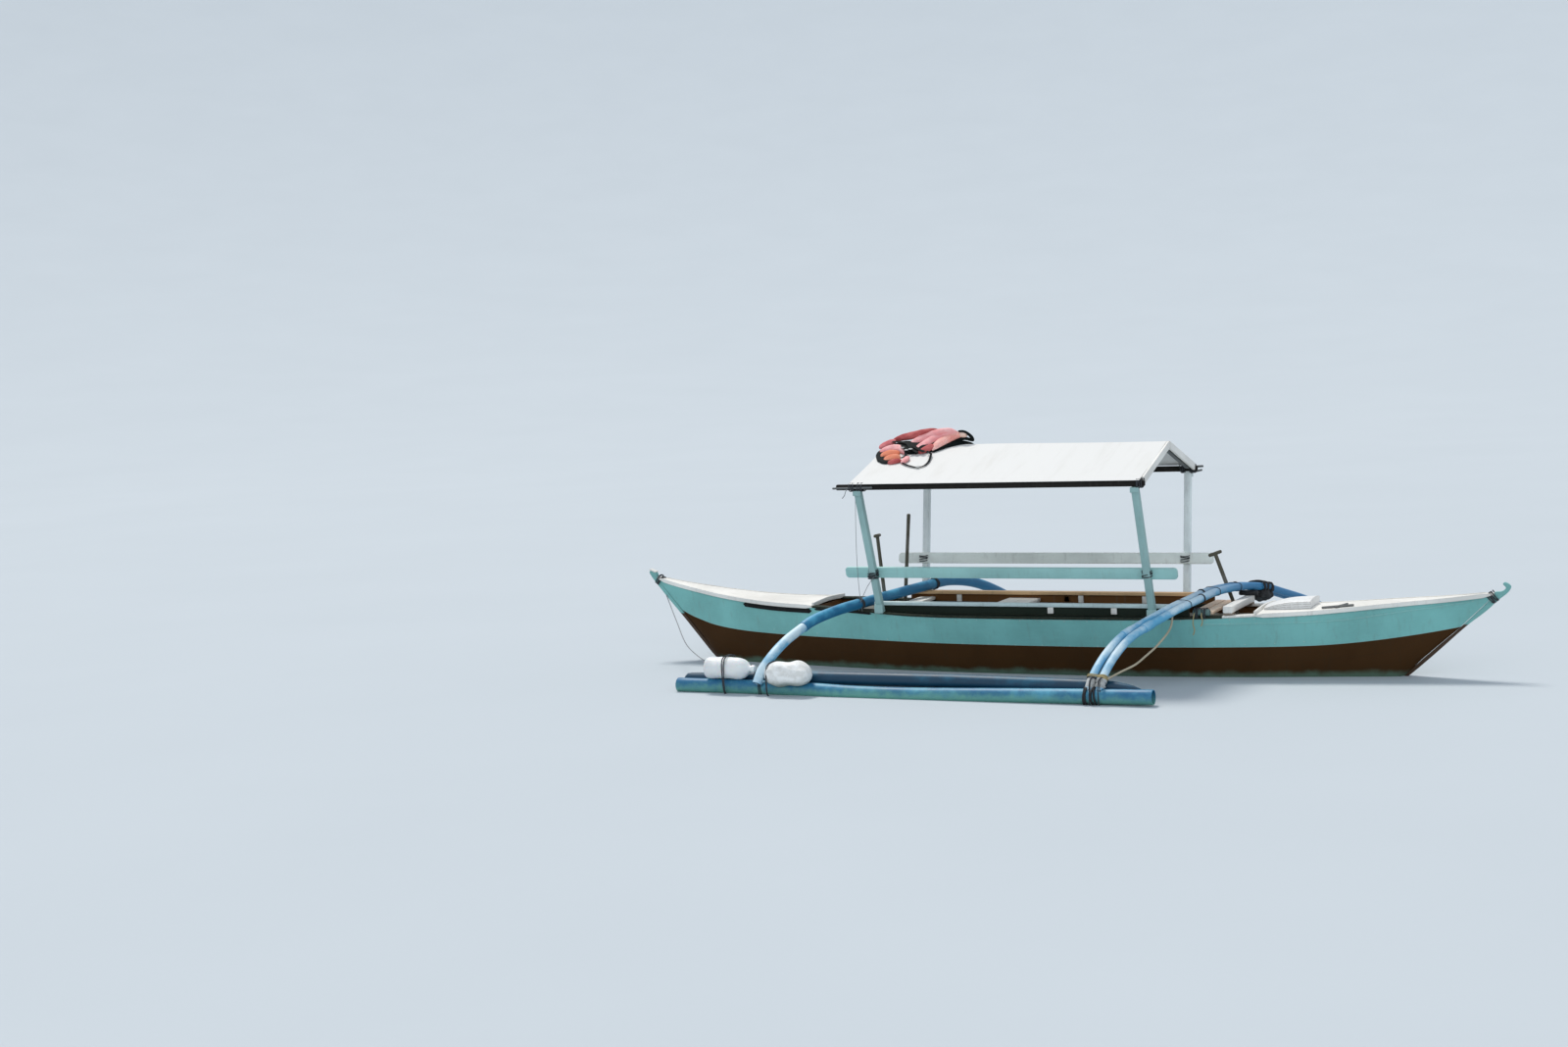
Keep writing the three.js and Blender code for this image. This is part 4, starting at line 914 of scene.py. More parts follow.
# %% Posts
HEAD_Y, HEAD_Z, FOOT_Y, FOOT_Z = 0.683, 1.409, 0.438, 0.440
SLOPE = (HEAD_Y - FOOT_Y) / (HEAD_Z - FOOT_Z)
LEAN = math.atan(SLOPE)
POSTS = {"aft": (-1.050, -1.092), "fore": (1.068, 1.040)}
for end, (foot_x, head_x) in POSTS.items():
    for side, word in SIDES:
        node = f"post_{end}_{word}"
        paint = POST_FAR if side > 0 else POST_NEAR
        low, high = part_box(node)
        foot = [foot_x, side * (HEAD_Y - SLOPE * (HEAD_Z - low.z)), low.z]
        post = board(foot, [head_x, side * HEAD_Y, high.z], 0.050, 0.050, (1, 0, 0), 0.005, steps=12)
        piece(f"lean_post_{end}_{word}", [post], paint, [node])
        y, z = side * (abs(foot[1]) + 0.043), low.z + 0.033
        shoe = board([foot_x - 0.034, y, z], [foot_x + 0.034, y, z], 0.020, 0.066, ease=0.004)
        y, z = side * 0.700, 1.385
        block = board([head_x - 0.030, y, z], [head_x + 0.034, y, z], 0.026, 0.038, ease=0.004)
        piece(f"post_blocks_{end}_{word}", [shoe, block], paint)


# %% Side boards
def rounded_board(x0, x1, high, thick, corner):
    """Board outline with round ends in x and height, stacked across its thickness with an eased rim."""
    shape = plank(x1 - x0, high, corner, 7) + [(x0 + x1) / 2, 0]
    inset = 0.003 * np.array([1, 0.3, 0, 0, 0.3, 1])
    w = thick * np.array([-0.5, -0.46, -0.38, 0.38, 0.46, 0.5])
    middle = np.array([(x0 + x1) / 2, 0])
    size = 1 - 2 * inset[:, None, None] / np.array([x1 - x0, high])
    flat = middle + (shape - middle) * size
    return flat, w


BOARD_Y, BOARD_Z = 0.4847, 0.7697
for side, word, paint in ((1, "port", PALE_BOARD), (-1, "starboard", TEAL_BOARD)):
    flat, w = rounded_board(-1.282 if side > 0 else -1.308, 1.270, 0.084, 0.022, 0.026)
    y = BOARD_Y + flat[..., 1] * math.sin(LEAN) + w[:, None] * math.cos(LEAN)
    z = BOARD_Z + flat[..., 1] * math.cos(LEAN) - w[:, None] * math.sin(LEAN)
    piece("back_board_" + word, [grid(flat[..., 0], side * y, z)], paint, ["side_board_" + word], 30)

# %% Roof frame
RIDGE_Z, EAVE_Z = 1.6755, 1.4585
ROOF_FALL = (RIDGE_Z - EAVE_Z) / HEAD_Y


def roof_low(y):
    """Height of the underside of the roof sheet at y."""
    return RIDGE_Z - ROOF_FALL * np.abs(y)


def rafter(x, side, wide=0.032, deep=0.034):
    """Rafter from the ridge to the eave at x, under the sheet."""
    a, b = ([x, side * y, roof_low(y) - 0.0195] for y in (0.0215, 0.660))
    return board(a, b, wide, deep, ease=0.004)


GABLE_X = 1.0942
for side, word in SIDES:
    eave = board([-1.262, side * HEAD_Y, 1.430], [1.112, side * HEAD_Y, 1.430], 0.042, 0.042, ease=0.009, steps=24)
    piece("eave_pole_" + word, [eave], EAVE_DARK, ["eave_beam_" + word])
    rafters = [rafter(x, side) for x in (-1.110, -0.39, 0.33, 1.045)]
    piece("rafters_" + word, rafters, GREY_WOOD, ["rafter_aft_" + word])
    gable = board([GABLE_X, side * 0.0015, roof_low(0.0) + 0.009 - 0.028],
                  [GABLE_X, side * 0.657, roof_low(0.657) + 0.009 - 0.028], 0.0175, 0.054, ease=0.003)
    piece("gable_board_" + word, [gable], WHITE_BOARD, ["end_board_" + word])
ridge = board([-1.13, 0, 1.646], [1.080, 0, 1.646], 0.040, 0.044, ease=0.006, steps=24)
piece("ridge_pole", [ridge], SPAR_WOOD, ["ridge_beam"])


# %% Roof cloth
def tarpaulin():
    """White coated cloth: a fine weave, faint creases, and grey weather marks that run down the slope."""
    material, tree, shader, spot, uv = bench("roof_cloth_white", 0.62, Sheen_Weight=0.15)
    weave = put(tree, "TexBrick", {"offset": 0.5}, out=1, Vector=uv, Scale=320.0, Mortar_Size=0.05)
    crease = noise(tree, spot, 1.0, 5.0, 0.6, (3.5, 1.2, 3))
    mark = noise(tree, spot, 1.0, 5.0, 0.6, (9, 1.6, 2))
    colour = tint(tree, between(tree, mark, 0.48, 0.80, 0.35), (0.735, 0.725, 0.70), (0.56, 0.54, 0.49))
    colour = tint(tree, between(tree, noise(tree, spot, 42.0, 6.0, 0.7), 0.68, 0.78, 0.5), colour, (0.45, 0.42, 0.36))
    height = sums(tree, "ADD", crease, times(tree, weave, 0.04))
    finish(tree, shader, colour, None, height, 0.006, 0.35)
    return material


# %% Roof shape
def hump(x, y):
    """Lift of the old ridge over its straight line: 12 mm e^(-((x + 0.3) / 0.65)^2), dying away down both slopes."""
    return 0.012 * np.exp(-((x + 0.3) / 0.65) ** 2) * np.clip(1 - np.abs(y) / 0.7, 0, 1)


def roof_rings(aft=-1.148, fore=1.084, hem=0.721):
    """Height over x and y: ridge line sqrt(y^2 + r^2) softened, less a sag sin(pi t) between ridge and eave that is
    deepest half way between two rafters, less a step of 1.4 mm at the hem. Each ring is the top and then the
    underside, 2.2 mm lower."""
    x = np.linspace(aft, fore, 110)[:, None]
    y = np.linspace(-hem, hem, 97)
    t = np.abs(y) / hem
    bay = np.abs(np.sin(np.pi * (x + 1.110) / 0.7183))
    sag = (0.0028 + 0.0052 * bay) * np.sin(np.pi * np.clip(t * 1.04, 0, 1))
    sag = sag + 0.0016 * np.sin(9 * x + 3 * y) * np.sin(np.pi * t)
    top = RIDGE_Z + 0.0095 - ROOF_FALL * (np.sqrt(y**2 + 0.016**2) - 0.004) - sag
    top -= 0.0014 / (1 + np.exp(-(t - 0.935) / 0.004))
    end = np.minimum(np.abs(x - aft), np.abs(x - fore)) / 0.03
    top += 0.0012 * np.exp(-end**2) + hump(x, y)
    ys = np.broadcast_to(y, top.shape)
    both = np.concatenate([top, (top - 0.0022)[:, ::-1]], 1)
    return grid(x, np.concatenate([ys, ys[:, ::-1]], 1), both)


sheet = piece("roof_cloth", [roof_rings()], tarpaulin(), ["roof_sheet"], 60)
print("roof cloth is 2.232 by 1.516 m flat")

# %% [markdown]
# ## Pipes and floats
# Three bent plastic pipes cross the hull, lashed to the rails, and two float pipes lie along each side. Each is bent
# in one soft curve. A curve object with bevel would give a solid rod; here the wall turns in at every open end, so
# the bore shows. The aft pipe has a thinner pale pipe pushed into each end.

# %% Booms
AFT_BOOM = [[-1560, -1566, 84], [-1542, -1520, 168], [-1505, -1420, 262], [-1478, -1240, 345], [-1438, -1050, 412],
            [-1402, -911, 456], [-1318, -659, 499], [-1228, -340, 521], [-1102, 0, 548], [-985, 345, 569],
            [-903, 600, 576], [-803, 880, 526], [-715, 1110, 436], [-635, 1320, 322], [-580, 1460, 205],
            [-552, 1530, 140], [-540, 1566, 78]]
FORE_POLE = [[916, -1492, 88], [926, -1440, 165], [938, -1385, 216], [964, -1250, 300], [1012, -1097, 384],
             [1068, -947, 434], [1157, -708, 492], [1216, -545, 528], [1283, -345, 558.4], [1372, -110, 596],
             [1494, 204, 597], [1586, 448, 563], [1660, 640, 505], [1781, 972, 398], [1862, 1200, 300],
             [1925, 1385, 205], [1950, 1445, 155], [1962, 1492, 88]]
aft_line = through(np.array(AFT_BOOM, float) * MM)
fore_line = through(np.array(FORE_POLE, float) * MM)
STEP = 0.0733
FORE_LINES = {"boom_fore_1": fore_line, "boom_fore_2": fore_line + [STEP, 0, 0]}
second_line = FORE_LINES["boom_fore_2"]
ACROSS = (1, 0, 0)
piece("aft_pipe", [pipe(aft_line[134:404], 0.040, 0.005, rings=110, up=ACROSS)], PIPE_BLUE, ["boom_aft"])
for end, part, rings in (("near", aft_line[:147], 60), ("far", aft_line[394:], 50)):
    piece("aft_pipe_end_" + end, [pipe(part, 0.035, 0.004, rings=rings, up=ACROSS)], PIPE_PALE,
          ["boom_aft_sleeve_" + end])
for node, line in FORE_LINES.items():
    piece("fore_pipe_" + node[-1], [pipe(line, 0.028, 0.003, rings=150, up=ACROSS)], PIPE_PALE, [node])


def collar(line, middle, length, radius):
    """Slip coupling: a short wider pipe round a longer one, with soft ends."""
    rows = [(0, 0.86), (0.02, 0.97), (0.07, 1.0), (0.93, 1.0), (0.98, 0.97), (1, 0.86)]
    return turned(line, [(middle + (q - 0.5) * length, radius * r) for q, r in rows], 26, ACROSS)


fore_long = reach_of(fore_line)[-1]
couplings = [collar(line, s, 0.10, 0.0322) for line, s in (
    (fore_line, 0.62), (second_line, 0.74), (fore_line, fore_long - 0.62), (second_line, fore_long - 0.52))]
piece("pipe_couplings", couplings, PIPE_PALE)

# %% Floats
FLOATS = {"near": (-1, -2.250, 1.368), "far": (1, -1.300, 2.318)}
OUTER_BEND = [[0, 2], [0.2, -1], [0.31, -9], [0.4, -20], [0.52, -20], [0.68, -7], [0.86, 7], [1, 15]]
INNER_BEND = [[0, 25], [0.15, 45], [0.3, 62], [0.52, 69], [0.69, 63], [0.88, 59], [0.95, 57], [1, 41]]
NOSED = [(0, 0.012), (0, 0.030), (0.006, 0.046), (0.015, 0.050), (0.3, 0.050), (0.6, 0.050), (0.88, 0.050),
         (0.91, 0.0478), (0.94, 0.041), (0.965, 0.031), (0.98, 0.024), (0.992, 0.013), (1, 0.003)]


def bent(bend, x0, x1, y):
    """Line of a float pipe: z = 45 mm + the rise read from the table at each share of its length."""
    return through([[x0 + (x1 - x0) * share, y, (45 + rise) * MM] for share, rise in bend])


for name, (side, x0, x1) in FLOATS.items():
    outer = bent(OUTER_BEND, x0, x1, side * 1.490)
    inner = bent(INNER_BEND, x0 + 0.012, x1 - 0.100, side * 1.3913)
    piece("float_pipe_" + name, [pipe(outer, 0.052, 0.006, 0.09, 32, 60)], FLOAT_BLUE,
          ["float_outer_" + name])
    total = reach_of(inner)[-1]
    nosed = turned(inner, [(q * total, r) for q, r in NOSED], 32)
    # the inner pipe takes the darker copy of the float blue, painted shade between the floats
    piece("float_nosed_" + name, [nosed], FLOAT_SHADED, ["float_inner_" + name], 60)
print("fore pipe is", round(float(fore_long), 2), "m round the bend")

# %% [markdown]
# ## Lashings
# Nothing on the outrigger is bolted: cord and strips of old inner tube hold the pipes to the rails and the floats.
# Each lashing is a cord wound as a helix on a rounded rectangle, wobbling a little so that no turn lies quite like
# the last. Winding is cheaper than a knot and it is what the eye reads from here.

# %% Wind the cords
def boom_at(line, s):
    """Point of a line at the length s from its start."""
    return read_off(s, reach_of(line), line)


def pipe_wrap(line, s, radius, turns, cord, double=0.0, seed=0):
    """Winding round one pipe, or round two that lie side by side at a step double along X."""
    a, b = boom_at(line, s - 0.01), boom_at(line, s + 0.01)
    t = (b - a) / np.linalg.norm(b - a)
    side = np.array([1.0, 0, 0]) - t * t[0]
    side /= np.linalg.norm(side)
    over = np.cross(t, side)
    middle = boom_at(line, s) + np.array([double / 2, 0, 0])
    half = (radius + double * side[0] / 2, radius)
    return wound(middle, side, over, half, turns, cord, seed=seed)


PAIR_TIES = ((1.24, 1.4), (1.60, 1.2), (1.86, 1.4), (fore_long - 1.15, 3), (fore_long - 0.16, 4))
wraps = [pipe_wrap(fore_line, s, 0.028, n, 0.0024, STEP, i) for i, (s, n) in enumerate(PAIR_TIES)]
wraps += [pipe_wrap(fore_line, s, 0.028, n, 0.003, 0, i) for i, (s, n) in enumerate(((0.092, 2), (1.52, 3), (1.93, 2)))]
wraps += [pipe_wrap(second_line, 1.40, 0.028, 2, 0.003, 0, 5)]
wraps += [pipe_wrap(aft_line, s, 0.040, 4, 0.0035, 0, i) for i, s in enumerate((1.335, 2.20))]
piece("pipe_wraps", wraps, DARK_CORD)


# %% Strips of rubber
def lumpy(line, rows, swell, sides=40, rings=70):
    """Lathe shape with dents: radius(s) * (1 + sum of amount * sin(k q + w s + p)), summed over the rows of swell,
    each of them (amount, k, w, p)."""
    rows = np.asarray(rows, float)
    total = reach_of(np.asarray(line, float))[-1]
    fine = through(np.column_stack([rows, np.zeros(len(rows))]), rings)
    s, r = np.maximum.accumulate(np.clip(fine[:, 0], 0, 1)) * total, np.clip(fine[:, 1], 0.001, None)
    q = np.linspace(0, 2 * np.pi, sides, endpoint=False)
    wave = 1 + sum(a * np.sin(k * q + w * s[:, None] + p) for a, k, w, p in swell)
    return carry(line, disc(1.0, sides) * (r[:, None] * wave)[..., None], s)


# strips of inner tube bundled under the pair where it leaves the far rail; this black bundle is also painted shade
# under the pipes' crest
tube = np.array([boom_at(fore_line, s) + [STEP / 2, 0, -0.048] for s in np.linspace(2.115, 2.265, 9)])
STRIP = [[0, 0.010], [0.03, 0.026], [0.2, 0.036], [0.5, 0.040], [0.8, 0.034], [0.97, 0.022], [1, 0.008]]
bundle = [lumpy(tube + [dx, 0, dz], STRIP, [(0.14, 2, 30, p), (0.08, 3, -70, p), (0.05, 7, 90, p)])
          for dx, dz, p in ((-0.036, 0.004, 0.3), (0.034, 0.0, 2.0), (0.0, -0.018, 4.0))]
bundle += [pipe_wrap(fore_line, s, 0.030, 1.6, 0.008, STEP, i) for i, s in enumerate((2.14, 2.18, 2.24))]
low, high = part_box("boom_pad")
pad_z = low.z + 0.0175
bundle.append(board([low.x + 0.005, 0.290, pad_z], [high.x - 0.005, 0.290, pad_z], 0.052, 0.0345, ease=0.012))
piece("rubber_and_shade_bundle", bundle, RUBBER, ["boom_pad"])


# %% Lashings of the floats and the pipe feet
def ring_tie(x, y, z, half, turns, cord, pitch, seed):
    """Winding in a plane across the boat, round something that runs along X."""
    return wound([x, y, z], (0, 1, 0), (0, 0, 1), half, turns, cord, pitch, seed=seed)


FLOAT_TIES = ((0.940, -1, 1.3), (1.006, -1, 1.3), (1.980, 1, 1.3), (2.056, 1, 1.3), (-1.552, -1, 2), (-0.552, 1, 2))
ties = [ring_tie(x, side * 1.4415, 0.078, (0.101, 0.099), n, 0.0038, 0.010, i)
        for i, (x, side, n) in enumerate(FLOAT_TIES)]
ties += [wound([x, side * 1.508, 0.078], (1, 0, 0), (0, 0, 1), (0.062, 0.080), 2, 0.0035, 0.010, seed=i)
         for i, (x, side) in enumerate(((-1.552, -1), (-0.552, 1)))]
piece("float_lashings", ties, DARK_CORD)
strips = [ring_tie(x, side * 1.490, 0.052, (0.053, 0.053), 2, 0.007, 0.018, i)
          for i, (x, side) in enumerate(((0.905, -1), (0.965, -1), (1.955, 1)))]
piece("float_rubber_strips", strips, RUBBER)
RAG = plain_mould("rag_pale", (0.62, 0.62, 0.60), (0.36, 0.34, 0.32), 0.85, 60.0, 0.002)
feet = [collar(line, s, long, 0.0305) for line in FORE_LINES.values()
        for s, long in ((0.060, 0.075), (fore_long - 0.055, 0.07))]
feet += [pipe_wrap(second_line, s, 0.030, n, 0.004, 0, 7) for s, n in ((0.035, 2), (0.075, 3))]
piece("pole_foot_rags", feet, RAG)
foot_ties = [pipe_wrap(second_line, 0.098, 0.0285, 3, 0.0045, 0, 2),
             pipe_wrap(fore_line, 0.100, 0.028, 2, 0.004, STEP, 4)]
piece("pole_foot_ties", foot_ties, YELLOW_ROPE)
print("windings:", len(wraps) + len(bundle) + len(ties))

# %% [markdown]
# ## Gear on the boat
# A planked hatch cover rises towards the bow, a short pole is lashed by the fore pipes, and three paddles stand in
# the hull. A white bottle and a stuffed sack are tied on the near float. The hard things are rings again. The sack
# and the bottle are lathe shapes whose radius also swells and dents round the axis, and where the sack meets the
# pipes its surface is pushed out to their radius, so it lies on them as a real one does.

# %% Hatch cover
def hatch():
    """Ring: the underside, a side of three boards, six top boards with a groove between each, and the other side. The
    top's height is a smooth curve of x, and it is crowned by 15 mm (1 - (y / b)^2)."""
    x = np.linspace(1.793, 2.124, 42)
    edge = through([[1.792, 0.486, 0], [1.868, 0.509, 0], [1.948, 0.526, 0], [2.032, 0.534, 0], [2.125, 0.538, 0]])
    top = np.interp(x, edge[:, 0], edge[:, 1])[:, None]
    y_low = np.linspace(-0.144, 0.144, 9)
    low = deck_top(x[:, None], y_low) + 0.0012
    share = np.array([0.02, 0.31, 0.335, 0.36, 0.64, 0.665, 0.69, 0.93])
    dent = np.array([0, 0, 0.002, 0, 0, 0.002, 0, 0])
    side_z = low[:, -1:] + (top - 0.004 - low[:, -1:]) * share
    side_y = np.broadcast_to(0.1445 - dent, side_z.shape)
    seam = np.linspace(0.150, -0.150, 7)
    y_top = np.concatenate([[a - 0.0015, a - 0.006, (a + b) / 2, b + 0.006, b + 0.0015]
                            for a, b in zip(seam[:-1], seam[1:])])
    groove = np.tile([0.0030, 0.0004, 0, 0.0004, 0.0030], 6)
    top_z = top + 0.015 * (1 - (y_top / 0.150) ** 2) - groove
    y = np.concatenate([np.broadcast_to(y_low, low.shape), side_y, np.broadcast_to(y_top, top_z.shape),
                        -side_y[:, ::-1]], 1)
    z = np.concatenate([low, side_z, top_z, side_z[:, ::-1]], 1)
    return grid(x[:, None], y, z)


HATCH_WHITE = brushed("paint_hatch", (0.74, 0.74, 0.73), (0.42, 0.40, 0.37), "hull", 0.5, 0.6, 0.35,
                      (0.30, 0.28, 0.25))
piece("planked_hatch", [hatch()], HATCH_WHITE, ["hatch_cover"], 30)

# %% Poles, sticks and tails
def stick(a, b, radius):
    """Round stick from a to b, a little thicker in the middle, with soft ends."""
    a, b = np.array(a, float), np.array(b, float)
    rows = ((0, 0.5), (0.01, 0.9), (0.03, 1), (0.5, 1.05), (0.97, 1), (0.99, 0.9), (1, 0.5))
    return turned([a, (a + b) / 2, b], [(q * np.linalg.norm(b - a), radius * w) for q, w in rows], 12, (0.1, 1, 0.2))


def at_deck(x, y, up):
    """Point at the height up over the deck."""
    return [x, y, float(deck_top(np.array(x), np.array(y))) + up]


low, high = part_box("chock_pole")
pole_y, pole_z = (low.y + high.y) / 2, (low.z + high.z) / 2
POLE = [(0, 0.010), (0, 0.022), (0.004, 0.0245), (0.04, 0.025), (0.08, 0.0243), (0.116, 0.0245), (0.120, 0.022),
        (0.120, 0.010)]
pole = turned([[x, pole_y, pole_z] for x in (1.335, 1.395, 1.455)], POLE, 20)
piece("short_pole", [pole], CHOCK, ["chock_pole"])
piece("deck_stick", [stick(at_deck(2.205, -0.168, 0.009), at_deck(2.425, -0.140, 0.009), 0.008),
                     stick(at_deck(2.30, -0.175, 0.010), at_deck(2.38, -0.118, 0.018), 0.006)], GREY_WOOD)
EAVE_STICKS = (([-0.96, -0.7115, 1.428], [-1.287, -0.7085, 1.424], 0.008),
               ([0.86, 0.7115, 1.432], [1.152, 0.7085, 1.446], 0.009),
               ([1.016, 0.7165, 1.392], [1.014, 0.7165, 1.484], 0.011),
               ([1.052, 0.662, 1.400], [1.145, 0.700, 1.418], 0.008))
piece("eave_sticks", [stick(*row) for row in EAVE_STICKS], GREY_WOOD)

# %% Lashings of the canopy, the stems and the bottle
HEADS = ((-1.128, 1), (-1.128, -1), (1.075, 1), (1.078, -1), (-1.060, -1), (1.006, 1))
head_ties = [ring_tie(x, side * 0.684, 1.431, (0.029, 0.026), 4, 0.004, 0.011, i) for i, (x, side) in enumerate(HEADS)]
CROSSINGS = ((-1.068, -1), (1.054, -1), (-1.068, 1), (1.054, 1))
board_ties = [wound([x, side * 0.498, 0.768], (0, 1, 0), (1, 0, 0), (0.044, 0.030), 4, 0.0035, 0.013, seed=3 * i)
              for i, (x, side) in enumerate(CROSSINGS)]
board_ties.append(wound([-1.071, -0.516, 0.745], (1, 0, 0), (0, 1, 0), (0.028, 0.030), 4, 0.005, 0.012, seed=8))
piece("canopy_lashings", head_ties + board_ties, DARK_CORD)
stem_ties = [wound([x, 0, z], (0, 1, 0), (-0.6 * end, 0, 0.8), (0.024, high), n, 0.004, 0.010, seed=n)
             for x, z, end, high, n in ((3.338, 0.560, 1, 0.034, 5), (-3.205, 0.640, -1, 0.036, 4))]
strap = [ring_tie(-1.830, -1.474, 0.128, (0.098, 0.138), 2, 0.0045, 0.011, 2),
         ring_tie(-1.462, -1.484, 0.106, (0.120, 0.124), 2, 0.0030, 0.012, 6)]
pole_ties = [ring_tie(x, -0.350, pole_z - 0.003, (0.030, 0.031), 3, 0.0035, 0.011, 5) for x in (1.365, 1.42)]
piece("small_lashings", stem_ties + strap + pole_ties, DARK_CORD)

# %% Tails and thin lines
TAILS = [("pole_tail_1", [[1352, -379, 478], [1350, -398, 452], [1343, -394, 400], [1352, -391, 352],
                          [1340, -389, 318]], 4.0, YELLOW_ROPE),
         ("pole_tail_2", [[1404, -379, 480], [1406, -397, 458], [1412, -393, 418], [1400, -391, 384]], 4.0,
          YELLOW_ROPE),
         ("eave_tail", [[-1165, -712, 1424], [-1172, -726, 1400], [-1185, -722, 1372], [-1205, -718, 1350]], 3.0,
          GREY_LINE)]
for name, points, radius, fibre in TAILS:
    hang(name, points, radius, radius * 7, fibre, count=18)
POST_LINE = [[-1098, -712, 1405], [-1104, -700, 1395], [-1140, -640, 1150], [-1180, -560, 880], [-1212, -470, 620],
             [-1222, -412, 462]]
BRACE_LINE = [[-1048, -560, 742], [-1120, -520, 665], [-1200, -455, 560], [-1254, -400, 462]]
hang("post_line", POST_LINE, 2.0, 14, GREY_LINE, count=30)
hang("brace_line_1", BRACE_LINE, 2.2, 14, GREY_LINE, count=24)


# %% Paddles
def paddle(foot, head, blade_long, blade_half, across, grip):
    """Blade and shaft as one run of sections: a lens, half width w(s), half thickness 6 mm in the blade, melts into a
    circle of 14 mm by the neck. The grip is a short bar with round ends across the head."""
    foot, head = np.array(foot, float) * MM, np.array(head, float) * MM
    long = np.linalg.norm(head - foot)
    reach = blade_long * MM
    s = np.r_[np.linspace(0, 0.02, 5), np.linspace(0.03, reach, 16), np.linspace(reach + 0.04, long - 0.02, 14),
              long - 0.008, long - 0.002, long]
    rows = np.array([[0, 0.35], [8, 0.72], [20, 0.9], [70, 1], [200, 0.96], [300, 0.66], [blade_long, 0.24]]) * [MM, 1]
    w = np.interp(s, rows[:, 0], rows[:, 1]) * blade_half * MM
    shaft = 0.014 * (1 + 0.04 * np.sin(11 * s))
    melt = np.clip((s - 0.66 * blade_long * MM) / (0.34 * blade_long * MM), 0, 1)
    melt = melt * melt * (3 - 2 * melt)
    wide = w * (1 - melt) + np.maximum(shaft, w * (1 - melt)) * melt
    thick = (0.006 + 0.001 * np.sin(9 * s)) * (1 - melt) + shaft * melt
    tip = np.clip((long - s) / 0.008, 0, 1)
    round_off = 0.55 + 0.45 * np.sqrt(1 - (1 - tip) ** 2)
    section = disc(1.0, 20) * (np.stack([wide, thick], 1) * round_off[:, None])[:, None]
    line = foot + (head - foot) * np.linspace(0, 1, 30)[:, None]
    side = np.cross(head - foot, across)
    stacks = [carry(line, section, s, side)]
    if grip:
        t = (head - foot) / long
        a = np.array(across, float) - t * np.dot(across, t)
        a /= np.linalg.norm(a)
        rows = [(0, 0.004), (0.001, 0.008), (0.005, 0.012), (0.02, 0.0135), (0.052, 0.0125), (0.084, 0.0135),
                (0.099, 0.012), (0.103, 0.008), (0.104, 0.004)]
        stacks.append(turned([head - 0.052 * a, head, head + 0.052 * a], rows, 18, t))
    return stacks


PADDLES = (("aft_near", [-1130, -60, -80.4], [-1224, -62, 1004], 400, 68, [0, 1, 0], True),
           ("aft_far", [-1156, 162, -71], [-1051, 170, 1150], 380, 50, [0, 1, 0], False),
           ("fore", [1642.2, 196, 30], [1359.2, 196, 838], 360, 60, [1, 0, 0], True))
for number, (word, *shape) in enumerate(PADDLES, 1):
    piece("paddle_" + word, paddle(*shape), PADDLE_WOOD, [f"paddle_{number}"])


# %% Bottle and sack
def clear_of(rings, y, z, radius):
    """Pushes points that lie inside a pipe along X, at y and z, out to its radius."""
    d = rings[..., 1:] - [y, z]
    far = np.linalg.norm(d, axis=-1, keepdims=True)
    moved = rings.copy()
    moved[..., 1:] = np.where(far < radius, [y, z] + d / np.maximum(far, 1e-6) * radius, rings[..., 1:])
    return moved


JUG = [[0, 0.012], [0.004, 0.05], [0.02, 0.073], [0.06, 0.081], [0.14, 0.082], [0.22, 0.080], [0.30, 0.082],
       [0.34, 0.079], [0.38, 0.082], [0.52, 0.081], [0.66, 0.081], [0.74, 0.074], [0.80, 0.062], [0.86, 0.038],
       [0.895, 0.023], [0.925, 0.021]]
jug_line = [[-2.008, -1.476, 0.1800], [-1.807, -1.4843, 0.1798], [-1.606, -1.4926, 0.1796]]
CAP = [(0.374, 0.012), (0.374, 0.024), (0.376, 0.0265), (0.396, 0.0265), (0.401, 0.024), (0.402, 0.012)]
jug = lumpy(jug_line, JUG, [(0.035, 2, 9, 0.4), (0.02, 3, -23, 1.0), (0.012, 5, 31, 2.0)])
piece("white_bottle", [jug, turned(jug_line, CAP, 30)], BOTTLE, ["lashed_bottle"], 50)


def sack_cloth():
    """Woven plastic sack: flat tapes over and under, with sharp little creases, darker in the folds, and green
    towards the bottom, which is growth and painted shade under the sack.
    """
    material, tree, shader, spot, uv = bench("sack_white", 0.55, Sheen_Weight=0.1)
    tape = put(tree, "TexBrick", {"offset": 0.5}, out=1, Vector=uv, Scale=170.0, Mortar_Size=0.08)
    fold = noise(tree, spot, 1.0, 6.0, 0.62, (16, 24, 24))
    pale = tint(tree, between(tree, fold, 0.35, 0.62), (0.78, 0.77, 0.73), (0.97, 0.97, 0.95))
    # green towards the bottom: growth, and painted shade under the sack
    growth_and_shade = tint(tree, between(tree, coordinate(tree, spot, 2), 0.135, 0.060, 0.8), pale, ALGAE)
    finish(tree, shader, growth_and_shade, None, sums(tree, "ADD", fold, times(tree, tape, 0.03)), 0.010, 0.6)
    return material


